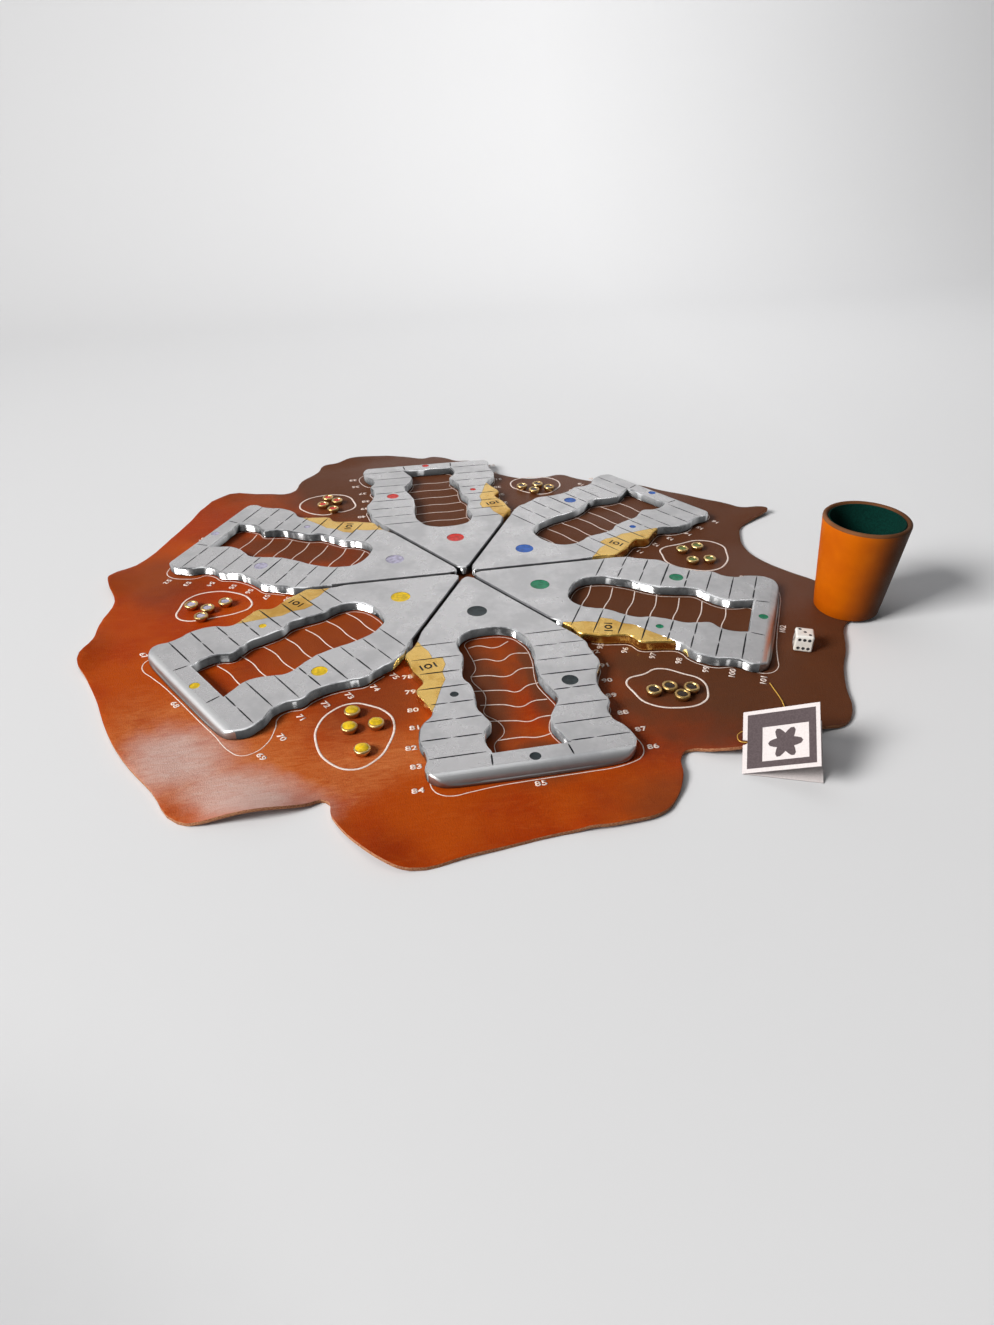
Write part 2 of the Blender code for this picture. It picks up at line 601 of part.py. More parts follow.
def make_cup(parts, finishes):
    """The dice cup: a tapered wall, a floor disc inside it, and a lining that stands on the floor."""
    inner = CUP_WALL
    wall_profile = (
        (cup_radius(CUP_HEIGHT) - inner + CUP_RIM_ROUND, CUP_HEIGHT),
        (cup_radius(CUP_HEIGHT) - CUP_RIM_ROUND, CUP_HEIGHT),
        (cup_radius(CUP_HEIGHT), CUP_HEIGHT - CUP_RIM_ROUND),
        (cup_radius(0), 0),
        (cup_radius(0) - inner, 0),
        (cup_radius(CUP_HEIGHT - CUP_RIM_ROUND) - inner, CUP_HEIGHT - CUP_RIM_ROUND),
    )
    floor_radius = cup_radius(0) - inner - GAP
    floor_profile = ((0, CUP_FLOOR), (floor_radius, CUP_FLOOR), (floor_radius, 0), (0, 0))
    seat = CUP_FLOOR + GAP
    lip = CUP_HEIGHT - LINING_DROP
    outside = inner + GAP
    inside = outside + CUP_LINING
    lining_profile = (
        (0, seat + CUP_LINING), (cup_radius(seat + CUP_LINING) - inside, seat + CUP_LINING),
        (cup_radius(lip) - inside, lip), (cup_radius(lip) - outside, lip),
        (cup_radius(seat) - outside, seat), (0, seat),
    )
    pieces = (
        turned("cup_wall", wall_profile, True, CUP_SIDES, parts, finishes["cup"]),
        turned("cup_floor", floor_profile, False, CUP_SIDES, parts, finishes["cup"]),
        turned("cup_lining", lining_profile, False, CUP_SIDES, parts, finishes["lining"]),
    )
    place = past_arm(SIDE_ARM, CUP_ACROSS, CUP_CLEAR + CUP_TOP_RADIUS)
    for piece in pieces:
        piece.location = (*place, HIDE_THICKNESS + GAP)
        mesh = settle(piece)
        shade_round(mesh)


def tag_matrix():
    """The tag's own frame: X along the lower panel's width, Y along the fold, Z off the panel."""
    turn = Matrix.Rotation(-TAG_TURN, 4, "Z")
    tilt = Matrix.Rotation(TAG_TILT, 4, "X")
    return Matrix.Translation((*tag_place(), TAG_RISE)) @ turn @ tilt


def make_tag(parts, cutters, finishes):
    """The hang tag: one card folded along its left side, standing open, with a hole in the fold."""
    shape = bmesh.new()
    fold_round = 2 * TAG_CARD
    width = TAG_WIDTH
    half_opening = TAG_OPENING / 2
    profile = (
        (width, 0), (fold_round, 0), (0, fold_round * math.sin(half_opening)),
        (fold_round * math.cos(TAG_OPENING), fold_round * math.sin(TAG_OPENING) + TAG_CARD),
        (width * math.cos(TAG_OPENING), width * math.sin(TAG_OPENING) + TAG_CARD),
    )
    near = [shape.verts.new((x, 0, z)) for x, z in profile]
    edges = [shape.edges.new(pair) for pair in zip(near, near[1:])]
    drawn = bmesh.ops.extrude_edge_only(shape, edges=edges)
    far = [item for item in drawn["geom"] if isinstance(item, bmesh.types.BMVert)]
    bmesh.ops.translate(shape, verts=far, vec=(0, TAG_FOLD, 0))
    tag = add_object("hang_tag", mesh_from(shape), parts, finishes["card"])
    tag.matrix_world = tag_matrix()
    wall = tag.modifiers.new("card", "SOLIDIFY")
    wall.thickness = TAG_CARD
    wall.offset = 0.0
    hole = bmesh.new()
    place = Matrix.Translation((0, TAG_FOLD / 2, TAG_CARD)) @ Matrix.Rotation(math.pi / 2, 4, "Y")
    bmesh.ops.create_cone(hole, cap_ends=True, segments=12, radius1=TAG_HOLE_RADIUS,
                          radius2=TAG_HOLE_RADIUS, depth=2 * TAG_HOLE, matrix=place)
    punch = add_cutter("tag_hole_cutter", mesh_from(hole), cutters)
    punch.matrix_world = tag_matrix()
    add_boolean(tag, punch)


def smooth_route(points, step):
    """Evenly spaced points on a Catmull-Rom curve through the route's own points."""
    route = [Vector(point) for point in points]
    padded = [2 * route[0] - route[1], *route, 2 * route[-1] - route[-2]]
    fine = []
    parts_per_span = 24
    for a, b, c, d in zip(padded, padded[1:], padded[2:], padded[3:]):
        for part in range(parts_per_span):
            t = part / parts_per_span
            fine.append((2 * b + (c - a) * t + (2 * a - 5 * b + 4 * c - d) * t * t
                         + (3 * b - a - 3 * c + d) * t ** 3) / 2)
    fine.append(route[-1])
    spaced = [fine[0]]
    for point in fine:
        if (point - spaced[-1]).length >= step:
            spaced.append(point)
    spaced[-1] = fine[-1]
    return spaced


def make_thread(parts, finishes):
    """The gold thread, from the hide along its top, under the tag and into the hole in its fold."""
    tag_x, tag_y = tag_place()
    points = smooth_route([(tag_x + x, tag_y + y, z) for x, y, z in THREAD_ROUTE], THREAD_STEP)
    curve = bpy.data.curves.new("tag_thread", "CURVE")
    curve.dimensions = "3D"
    curve.bevel_depth = THREAD_DIAMETER / 2
    curve.bevel_resolution = 1
    curve.use_fill_caps = True
    spline = curve.splines.new("POLY")
    spline.points.add(len(points) - 1)
    for knot, point in zip(spline.points, points):
        knot.co = (*point, 1)
    add_object("tag_thread", curve, parts, finishes["thread"])


def main():
    """Clears the scene and models the board."""
    for item in list(bpy.data.objects):
        bpy.data.objects.remove(item)
    finishes = make_materials()
    parts = add_collection("pachisi_board")
    cutters = add_collection("cutters")
    make_hide(parts, finishes)
    make_arms(parts, cutters, finishes)
    make_tokens(parts, cutters, finishes)
    make_die(parts, cutters, finishes)
    make_cup(parts, finishes)
    make_tag(parts, cutters, finishes)
    make_thread(parts, finishes)


main()
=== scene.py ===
# A six-player pachisi board: cast arms on a leather hide, with tokens, a die, a dice cup and a hang tag
# Metres, z up; the black arm points to -y, and the camera looks on from its side
import math

import bpy
from mathutils import Matrix, Vector, noise


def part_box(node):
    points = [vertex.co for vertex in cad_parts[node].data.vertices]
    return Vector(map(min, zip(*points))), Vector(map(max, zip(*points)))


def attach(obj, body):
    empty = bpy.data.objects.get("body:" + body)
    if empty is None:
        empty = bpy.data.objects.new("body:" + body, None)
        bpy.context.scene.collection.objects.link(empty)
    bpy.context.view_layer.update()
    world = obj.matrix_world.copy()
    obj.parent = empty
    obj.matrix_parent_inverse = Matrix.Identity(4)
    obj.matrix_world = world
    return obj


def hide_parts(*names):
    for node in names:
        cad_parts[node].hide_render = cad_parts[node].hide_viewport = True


mm = 0.001
mergeWithin = 0.00001
players = ("black", "green", "blue", "red", "white", "yellow")
armTurn = 2 * math.pi / len(players)

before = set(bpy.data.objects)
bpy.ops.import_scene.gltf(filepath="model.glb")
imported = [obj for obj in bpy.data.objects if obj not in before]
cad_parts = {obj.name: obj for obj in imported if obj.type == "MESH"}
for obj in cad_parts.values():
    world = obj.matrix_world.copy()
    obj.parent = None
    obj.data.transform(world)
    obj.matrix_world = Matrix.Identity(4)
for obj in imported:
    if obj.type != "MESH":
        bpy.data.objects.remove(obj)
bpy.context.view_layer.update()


# small helpers that do by code what a hand does in the viewport

def deselectAll():
    if bpy.context.object and bpy.context.object.mode != "OBJECT":
        bpy.ops.object.mode_set(mode="OBJECT")
    bpy.ops.object.select_all(action="DESELECT")


def pick(piece):
    deselectAll()
    piece.select_set(True)
    bpy.context.view_layer.objects.active = piece


def editAll(piece):
    pick(piece)
    bpy.context.tool_settings.mesh_select_mode = (True, False, False)
    bpy.ops.object.mode_set(mode="EDIT")
    bpy.ops.mesh.select_all(action="SELECT")


def named(name, material=None):
    # takes the object that was just added, and gives it its name and finish
    piece = bpy.context.object
    piece.name = name
    piece.data.name = name
    if material:
        piece.data.materials.append(material)
    return piece


def added(operator, name, material=None, **settings):
    # runs an add operator with nothing else selected
    deselectAll()
    operator(**settings)
    return named(name, material)


def selectFaces(piece, wanted):
    pick(piece)
    bpy.context.tool_settings.mesh_select_mode = (False, False, True)
    for edge in piece.data.edges:
        edge.select = False
    for vertex in piece.data.vertices:
        vertex.select = False
    for face in piece.data.polygons:
        face.select = wanted(face)
    bpy.ops.object.mode_set(mode="EDIT")


def selectEdges(piece, wanted):
    # wanted is asked with the two ends of each edge
    pick(piece)
    bpy.context.tool_settings.mesh_select_mode = (False, True, False)
    points = piece.data.vertices
    for face in piece.data.polygons:
        face.select = False
    for vertex in points:
        vertex.select = False
    for edge in piece.data.edges:
        edge.select = wanted(points[edge.vertices[0]].co, points[edge.vertices[1]].co)
    bpy.ops.object.mode_set(mode="EDIT")


def backToObject():
    bpy.ops.object.mode_set(mode="OBJECT")


def cutLines(planes):
    # in edit mode, draws new edges where each plane, given as its point and normal, crosses the piece
    for point, normal in planes:
        bpy.ops.mesh.select_all(action="SELECT")
        bpy.ops.mesh.bisect(plane_co=point, plane_no=normal)


def addAndApply(piece, kind, **settings):
    modifier = piece.modifiers.new(kind.lower(), kind)
    for key, value in settings.items():
        setattr(modifier, key, value)
    pick(piece)
    bpy.ops.object.modifier_apply(modifier=modifier.name)


def cutWith(piece, cutter, operation="DIFFERENCE"):
    # the faces that the cut leaves take the cutter's own finish
    addAndApply(piece, "BOOLEAN", object=cutter, operation=operation, solver="EXACT",
                material_mode="TRANSFER")


def remove(piece):
    bpy.data.objects.remove(piece)


def joined(pieces, name):
    deselectAll()
    for piece in pieces:
        piece.select_set(True)
    bpy.context.view_layer.objects.active = pieces[0]
    if len(pieces) > 1:
        bpy.ops.object.join()
    pieces[0].name = name
    pieces[0].data.name = name
    return pieces[0]


def smoothShade(piece, angle):
    pick(piece)
    bpy.ops.object.shade_smooth_by_angle(angle=math.radians(angle))


def tidyMesh(piece, angle):
    editAll(piece)
    bpy.ops.mesh.remove_doubles(threshold=mergeWithin)
    bpy.ops.mesh.normals_make_consistent(inside=False)
    backToObject()
    smoothShade(piece, angle)


def levelNormals(piece):
    # the wide flat faces keep flat normals beside their rounded edges
    addAndApply(piece, "WEIGHTED_NORMAL", weight=80, keep_sharp=True)


def copyOf(piece, name, place=Matrix.Identity(4)):
    twin = piece.copy()
    twin.data = piece.data.copy()
    twin.name = name
    twin.data.name = name
    bpy.context.scene.collection.objects.link(twin)
    twin.data.transform(place)
    return twin


def refinish(piece, material):
    piece.data.materials.clear()
    piece.data.materials.append(material)


def footOf(node):
    # the middle of a node's box, at its lowest level
    low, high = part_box(node)
    return (low.x + high.x) / 2, (low.y + high.y) / 2, low.z


def onBody(piece, body, slot, *nodes):
    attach(piece, body)
    if nodes:
        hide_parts(*nodes)


def turnedRing(name, profile, sides, material):
    # a ring of edges drawn up through every (radius, height) of the profile
    radius, height = profile[0]
    piece = added(bpy.ops.mesh.primitive_circle_add, name, material, vertices=sides, radius=radius,
                  fill_type="NOTHING")
    editAll(piece)
    bpy.ops.transform.translate(value=(0, 0, height))
    for nextRadius, nextHeight in profile[1:]:
        bpy.ops.mesh.extrude_edges_move(TRANSFORM_OT_translate={"value": (0, 0, nextHeight - height)})
        share = nextRadius / radius
        bpy.ops.transform.resize(value=(share, share, 1), center_override=(0, 0, nextHeight))
        radius, height = nextRadius, nextHeight
    backToObject()
    return piece


def selectOpenRings():
    # in edit mode, the edges with a face on one side only
    bpy.ops.mesh.select_all(action="DESELECT")
    bpy.context.tool_settings.mesh_select_mode = (False, True, False)
    bpy.ops.mesh.select_non_manifold(extend=False, use_wire=False, use_boundary=True,
                                     use_multi_face=False, use_non_contiguous=False, use_verts=False)


def closeEnds(piece):
    # fills the open rings at both ends
    editAll(piece)
    bpy.ops.mesh.remove_doubles(threshold=mergeWithin)
    selectOpenRings()
    bpy.ops.mesh.fill_holes(sides=0)
    backToObject()


def curveMesh(name, kind, loops, closed, **settings):
    # a curve through loops of (x, y) or (x, y, "VECTOR"), made a mesh
    curve = bpy.data.curves.new(name, "CURVE")
    curve.dimensions = kind
    for key, value in settings.items():
        setattr(curve, key, value)
    for loop in loops:
        spline = curve.splines.new("BEZIER")
        spline.bezier_points.add(len(loop) - 1)
        for knot, (x, y, *handle) in zip(spline.bezier_points, loop):
            knot.co = (x, y, 0)
            knot.handle_left_type = knot.handle_right_type = handle[0] if handle else "AUTO"
        spline.use_cyclic_u = closed
    piece = bpy.data.objects.new(name, curve)
    bpy.context.scene.collection.objects.link(piece)
    pick(piece)
    bpy.ops.object.convert(target="MESH")
    return piece


def outlineSlab(name, loops, thickness, rounding=0.0, resolution=8):
    # the loops become a slab between them, with rounded edges
    piece = curveMesh(name, "2D", loops, True, fill_mode="BOTH", extrude=max(0.0, thickness / 2 - rounding),
                      bevel_depth=rounding, bevel_resolution=3, offset=-rounding, resolution_u=resolution)
    editAll(piece)
    bpy.ops.mesh.remove_doubles(threshold=mergeWithin)
    backToObject()
    return piece


# the camera, as the photograph was taken

camera = {
    "place": (-0.118704, -0.757202, 0.424490),
    "yaw": -11.2273, "lookDown": 34.3110, "roll": -0.4715,
    "lens": 23.373, "sensor": 36, "near": 0.01, "far": 30,
}


def addCamera():
    deselectAll()
    bpy.ops.object.camera_add()
    eye = bpy.context.object
    eye.name = "camera"
    turn = Matrix.Rotation(math.radians(camera["yaw"]), 4, "Z")
    tilt = Matrix.Rotation(math.radians(90 - camera["lookDown"]), 4, "X")
    roll = Matrix.Rotation(math.radians(camera["roll"]), 4, "Z")
    eye.matrix_world = Matrix.Translation(camera["place"]) @ turn @ tilt @ roll
    eye.data.lens = camera["lens"]
    eye.data.sensor_width = camera["sensor"]
    eye.data.clip_start = camera["near"]
    eye.data.clip_end = camera["far"]
    bpy.context.scene.camera = eye


addCamera()
print("camera set")


# nodes for the materials

def feed(tree, given, socket):
    # given is another node's output, or a plain colour, vector or number
    if isinstance(given, bpy.types.NodeSocket):
        tree.links.new(given, socket)
    elif socket.type == "RGBA":
        socket.default_value = (*given, 1)
    else:
        socket.default_value = given


def addNode(tree, kind, values=None, **settings):
    node = tree.nodes.new("ShaderNode" + kind)
    for key, value in settings.items():
        setattr(node, key, value)
    for socket, value in (values or {}).items():
        feed(tree, value, node.inputs[socket])
    return node


def maths(tree, operation, *terms):
    return addNode(tree, "Math", dict(enumerate(terms)), operation=operation).outputs["Value"]


def vectorMaths(tree, operation, *terms, output="Vector"):
    return addNode(tree, "VectorMath", dict(enumerate(terms)), operation=operation).outputs[output]


def clouds(tree, place, scale, detail, roughness, distortion=0.0, output="Fac"):
    return addNode(tree, "TexNoise", {
        "Vector": place, "Scale": scale, "Detail": detail, "Roughness": roughness, "Distortion": distortion,
    }).outputs[output]


def ranged(tree, value, *limits, soft=False):
    # reads a value between two levels, as a share or between two other levels
    sockets = ("Value", "From Min", "From Max", "To Min", "To Max")
    return addNode(tree, "MapRange", dict(zip(sockets, (value, *limits))),
                   interpolation_type="SMOOTHSTEP" if soft else "LINEAR").outputs["Result"]


def mixed(tree, factor, first, second, kind="RGBA"):
    # kind is RGBA for colours and FLOAT for plain values
    blend = addNode(tree, "Mix", {"Factor": factor, "A": first, "B": second}, data_type=kind)
    return blend.outputs["Result"]


def newMaterial(name, colour, **sockets):
    # constant values are set on the shader's own sockets
    material = bpy.data.materials.new(name)
    material.use_nodes = True
    material.diffuse_color = (*colour, 1)
    tree = material.node_tree
    surface = tree.nodes["Principled BSDF"]
    surface.inputs["Base Color"].default_value = (*colour, 1)
    for socket, value in sockets.items():
        surface.inputs[socket.replace("_", " ")].default_value = value
    return material, tree, surface, addNode(tree, "TexCoord").outputs["Object"]


def newGroup(name, inputs, outputs):
    group = bpy.data.node_groups.new(name, "ShaderNodeTree")
    for label, kind, value in inputs:
        socket = group.interface.new_socket(name=label, in_out="INPUT", socket_type="NodeSocket" + kind)
        if value is not None:
            socket.default_value = value
    for label, kind in outputs:
        group.interface.new_socket(name=label, in_out="OUTPUT", socket_type="NodeSocket" + kind)
    return group, group.nodes.new("NodeGroupInput").outputs, group.nodes.new("NodeGroupOutput").inputs


def makeMottleGroup():
    # two colours that drift into each other in soft clouds
    group, given, result = newGroup("mottle", (
        ("Place", "Vector", None), ("Scale", "Float", 20.0), ("Detail", "Float", 4.0),
        ("Low", "Float", 0.35), ("High", "Float", 0.65),
        ("First", "Color", (1, 1, 1, 1)), ("Second", "Color", (0, 0, 0, 1)),
    ), (("Color", "Color"), ("Mask", "Float")))
    cloud = clouds(group, given["Place"], given["Scale"], given["Detail"], 0.55)
    mask = ranged(group, cloud, given["Low"], given["High"], soft=True)
    feed(group, mixed(group, mask, given["First"], given["Second"]), result["Color"])
    feed(group, mask, result["Mask"])
    return group


def makeGrainGroup():
    # leather pores: small cells with creased borders, over slow swells
    group, given, result = newGroup("grain", (
        ("Place", "Vector", None), ("Pores", "Float", 700.0), ("Swell", "Float", 40.0),
        ("Swell Share", "Float", 0.5),
    ), (("Height", "Float"), ("Pore Mask", "Float")))
    pores = addNode(group, "TexVoronoi", {
        "Vector": given["Place"], "Scale": given["Pores"], "Randomness": 1.0,
    }, feature="DISTANCE_TO_EDGE")
    border = ranged(group, pores.outputs["Distance"], 0.0, 0.14)
    swell = clouds(group, given["Place"], given["Swell"], 5.0, 0.6)
    part = maths(group, "MULTIPLY", swell, given["Swell Share"])
    feed(group, maths(group, "ADD", border, part), result["Height"])
    feed(group, border, result["Pore Mask"])
    return group


def makeCastGroup():
    # hand-finished castings: file marks, small dents and smudges; on the polished walls the smudged patches are
    # painted dark reflection
    group, given, result = newGroup("castFinish", (
        ("Place", "Vector", None), ("Lumps", "Float", 90.0), ("Marks", "Float", 900.0),
        ("Marks Share", "Float", 0.2),
    ), (("Height", "Float"), ("Smudge And Reflection", "Float")))
    lumps = clouds(group, given["Place"], given["Lumps"], 3.0, 0.5)
    marks = clouds(group, given["Place"], given["Marks"], 4.0, 0.6)
    smudgeAndReflection = clouds(group, given["Place"], 26.0, 5.0, 0.65)
    part = maths(group, "MULTIPLY", marks, given["Marks Share"])
    feed(group, maths(group, "ADD", lumps, part), result["Height"])
    feed(group, ranged(group, smudgeAndReflection, 0.42, 0.66, soft=True), result["Smudge And Reflection"])
    return group


def makeSpotGroup():
    # a soft-edged oval patch, level with the table, with a ragged rim
    group, given, result = newGroup("softSpot", (
        ("Place", "Vector", None), ("Middle", "Vector", (0, 0, 0)), ("Size", "Vector", (0.1, 0.1, 1)),
        ("Turn", "Float", 0.0), ("Ragged", "Float", 0.5),
    ), (("Mask", "Float"),))
    away = vectorMaths(group, "SUBTRACT", given["Place"], given["Middle"])
    turned = addNode(group, "VectorRotate", {"Vector": away, "Angle": given["Turn"]}, rotation_type="Z_AXIS")
    shares = vectorMaths(group, "DIVIDE", turned.outputs["Vector"], given["Size"])
    level = vectorMaths(group, "MULTIPLY", shares, (1, 1, 0))
    distance = vectorMaths(group, "LENGTH", level, output="Value")
    rim = maths(group, "SUBTRACT", clouds(group, given["Place"], 22.0, 5.0, 0.6), 0.5)
    reach = maths(group, "MULTIPLY_ADD", rim, given["Ragged"], distance)
    feed(group, ranged(group, reach, 1.05, 0.25, soft=True), result["Mask"])
    return group


def makeFluteGroup():
    # filed walls: facets that run from top to bottom, and a slight lean upwards
    group, given, result = newGroup("filedWall", (
        ("Place", "Vector", None), ("Facets", "Float", 190.0), ("Swing", "Float", 0.5),
        ("Lean", "Float", 0.2),
    ), (("Normal", "Vector"),))
    upright = vectorMaths(group, "MULTIPLY", given["Place"], (1, 1, 0.22))
    cloud = clouds(group, upright, given["Facets"], 0.5, 0.5, output="Color")
    centred = vectorMaths(group, "SUBTRACT", cloud, (0.5, 0.5, 0.5))
    swung = addNode(group, "VectorMath", {0: centred, "Scale": given["Swing"]}, operation="SCALE")
    leaning = addNode(group, "CombineXYZ", {"Z": given["Lean"]})
    own = addNode(group, "NewGeometry").outputs["Normal"]
    turned = vectorMaths(group, "ADD", own, swung.outputs["Vector"])
    raised = vectorMaths(group, "ADD", turned, leaning.outputs["Vector"])
    feed(group, vectorMaths(group, "NORMALIZE", raised), result["Normal"])
    return group


mottleGroup = makeMottleGroup()
grainGroup = makeGrainGroup()
castGroup = makeCastGroup()
spotGroup = makeSpotGroup()
fluteGroup = makeFluteGroup()


def useGroup(tree, group, place, values):
    return addNode(tree, "Group", {"Place": place, **values}, node_tree=group)


def addBump(tree, surface, height, strength, distance):
    bump = addNode(tree, "Bump", {"Strength": strength, "Distance": distance, "Height": height})
    feed(tree, bump.outputs["Normal"], surface.inputs["Normal"])
    return bump


def addPores(tree, grain, pore, tone, faded):
    # pores in a darker tone, faded back towards the leather's own
    pored = mixed(tree, grain.outputs["Pore Mask"], pore, tone)
    return mixed(tree, faded, pored, tone)


def spotsMask(tree, place, spots, ragged):
    # the strongest of several soft patches
    strongest = None
    for x, y, halfWidth, halfDepth, *turn in spots:
        mask = useGroup(tree, spotGroup, place, {
            "Middle": (x, y, 0), "Size": (halfWidth, halfDepth, 1), "Ragged": ragged,
            "Turn": -math.radians(turn[0]) if turn else 0.0,
        }).outputs["Mask"]
        strongest = maths(tree, "MAXIMUM", strongest, mask) if strongest else mask
    return strongest


# the hide's finish

leather = {
    "saddle": (0.44, 0.064, 0.003), "ember": (0.36, 0.036, 0.002), "umber": (0.112, 0.040, 0.018),
    "rubbed": (0.56, 0.12, 0.02), "copper": (0.62, 0.20, 0.06), "pale": (0.62, 0.44, 0.39),
    "pore": (0.10, 0.022, 0.007), "poresFaded": 0.82,
    # painted shade: where it turns dark, across the hide and slanting to the back, and how far that border
    # drifts
    "darkFrom": -0.05, "darkTo": 0.17, "slant": 0.62, "drift": 0.26,
    "darkShare": 0.88, "dimmedShare": 0.52, "glazedShare": 0.35,
    # soft patches as (x, y, half width, half depth, turn) in metres and degrees
    # painted shade and dark reflection: soft darker patches in the black, white and red arms' windows
    "dark": (
        (-0.018, -0.195, 0.034, 0.140, -3), (0.028, -0.175, 0.016, 0.100, 0), (0.004, -0.285, 0.050, 0.036),
        (-0.165, 0.105, 0.140, 0.048, -30), (0.0, 0.215, 0.060, 0.14),
    ),
    # darker patches of the hide
    "dimmed": (
        (-0.100, -0.185, 0.080, 0.060, 20), (0.100, -0.345, 0.075, 0.045), (-0.140, -0.080, 0.125, 0.050, 30),
        (-0.300, 0.060, 0.060, 0.090, 20),
    ),
    # painted sheen: its warm halo
    "sheenHalo": ((-0.235, -0.235, 0.145, 0.095, -35), (-0.130, -0.262, 0.085, 0.050, 10)),
    # the painted sheen's pale core, which also gets a glossier coat
    "polishAndSheen": ((-0.206, -0.284, 0.074, 0.040, -25), (-0.258, -0.226, 0.054, 0.050, -40)),
    "glazed": ((0.20, 0.20, 0.17, 0.17), (0.02, 0.31, 0.18, 0.08), (0.30, -0.06, 0.08, 0.09)),
}


def makeHideLeather():
    material, tree, surface, place = newMaterial("hideLeather", leather["saddle"], Roughness=0.38,
                                                 Specular_IOR_Level=0.03, Coat_Roughness=0.3)
    zones = useGroup(tree, mottleGroup, place, {
        "Scale": 9.0, "Detail": 6.0, "Low": 0.38, "High": 0.62,
        "First": leather["saddle"], "Second": leather["ember"],
    })
    # painted shade: the hide grows darker and browner towards its right and back, away from the light
    apart = addNode(tree, "SeparateXYZ", {"Vector": place})
    across = maths(tree, "MULTIPLY_ADD", apart.outputs["Y"], leather["slant"], apart.outputs["X"])
    edge = maths(tree, "MULTIPLY_ADD", clouds(tree, place, 11.0, 5.0, 0.6), leather["drift"], across)
    shadeGradient = ranged(tree, edge, leather["darkFrom"], leather["darkTo"], soft=True)
    # painted shade and dark reflection in soft patches, beside other darker patches of the hide
    dark = maths(tree, "MULTIPLY", spotsMask(tree, place, leather["dark"], 0.7), leather["darkShare"])
    dimmed = maths(tree, "MULTIPLY", spotsMask(tree, place, leather["dimmed"], 0.7), leather["dimmedShare"])
    darkest = maths(tree, "MAXIMUM", shadeGradient, maths(tree, "MAXIMUM", dark, dimmed))
    tone = mixed(tree, darkest, zones.outputs["Color"], leather["umber"])
    # fine rubbed strokes, fainter where the hide is dark
    stretch = addNode(tree, "Mapping", {"Vector": place, "Rotation": (0, 0, 0.5), "Scale": (60, 240, 60)})
    rub = clouds(tree, stretch.outputs["Vector"], 1.0, 6.0, 0.7, distortion=1.4)
    rubbed = ranged(tree, rub, 0.48, 0.80, 0.0, 0.42)
    lightSide = ranged(tree, darkest, 0.0, 0.8, 1.0, 0.12)
    tone = mixed(tree, maths(tree, "MULTIPLY", rubbed, lightSide), tone, leather["rubbed"])
    # a painted sheen at the front left: a warmer halo and a pale core, both laid along the strokes
    fibres = ranged(tree, rub, 0.36, 0.66, 0.25, 0.85)
    sheenHalo = maths(tree, "MULTIPLY", spotsMask(tree, place, leather["sheenHalo"], 0.9), fibres)
    tone = mixed(tree, sheenHalo, tone, leather["copper"])
    # painted highlight: the pale core of the sheen
    polishAndSheen = spotsMask(tree, place, leather["polishAndSheen"], 0.9)
    paintedSheen = maths(tree, "MULTIPLY", polishAndSheen, ranged(tree, rub, 0.30, 0.68, 0.55, 0.95))
    tone = mixed(tree, paintedSheen, tone, leather["pale"])
    grain = useGroup(tree, grainGroup, place, {"Pores": 620.0, "Swell": 55.0, "Swell Share": 1.6})
    tone = addPores(tree, grain, leather["pore"], tone, leather["poresFaded"])
    feed(tree, tone, surface.inputs["Base Color"])
    # the sheen's core and the glazed places also get a gloss coat
    glazed = maths(tree, "MULTIPLY", spotsMask(tree, place, leather["glazed"], 0.8), leather["glazedShare"])
    coated = maths(tree, "MAXIMUM", polishAndSheen, glazed)
    feed(tree, ranged(tree, coated, 0, 1, 0.0, 0.8), surface.inputs["Coat Weight"])
    feed(tree, ranged(tree, rub, 0.3, 0.7, 0.35, 0.42), surface.inputs["Roughness"])
    addBump(tree, surface, grain.outputs["Height"], 0.3, 0.0006)
    return material


def makeMottled(name, tone, look, **sockets):
    # a finish of two drifting tones: look gives both, the clouds' scale, detail and limits, and for some
    # finishes a range of gloss, and a bump's strength and depth
    material, tree, surface, place = newMaterial(name, tone, **sockets)
    values = dict(zip(("Scale", "Detail", "Low", "High"), look["clouds"]))
    values["First"], values["Second"] = look["tones"]
    drifting = useGroup(tree, mottleGroup, place, values)
    mask = drifting.outputs["Mask"]
    feed(tree, drifting.outputs["Color"], surface.inputs["Base Color"])
    if "gloss" in look:
        feed(tree, ranged(tree, mask, 0, 1, *look["gloss"]), surface.inputs["Roughness"])
    if "bump" in look:
        addBump(tree, surface, mask, *look["bump"])
    return material


def makeEnamel(player, tone):
    deep = tuple(0.62 * part for part in tone)
    return makeMottled("enamel_" + player, tone, {
        "tones": (tone, deep), "clouds": (260.0, 3.0), "gloss": (0.12, 0.24), "bump": (0.12, 0.0002),
    }, Roughness=0.2, Specular_IOR_Level=0.22)


def makeCard(name, tone, deep):
    return makeMottled(name, tone, {
        "tones": (tone, deep), "clouds": (800.0, 4.0, 0.3, 0.7), "bump": (0.15, 0.0001),
    }, Roughness=0.75)


# painted shade at the foot of the metal's walls, a dark reflection of the leather below
footShade = (0.05, 0.045, 0.042)


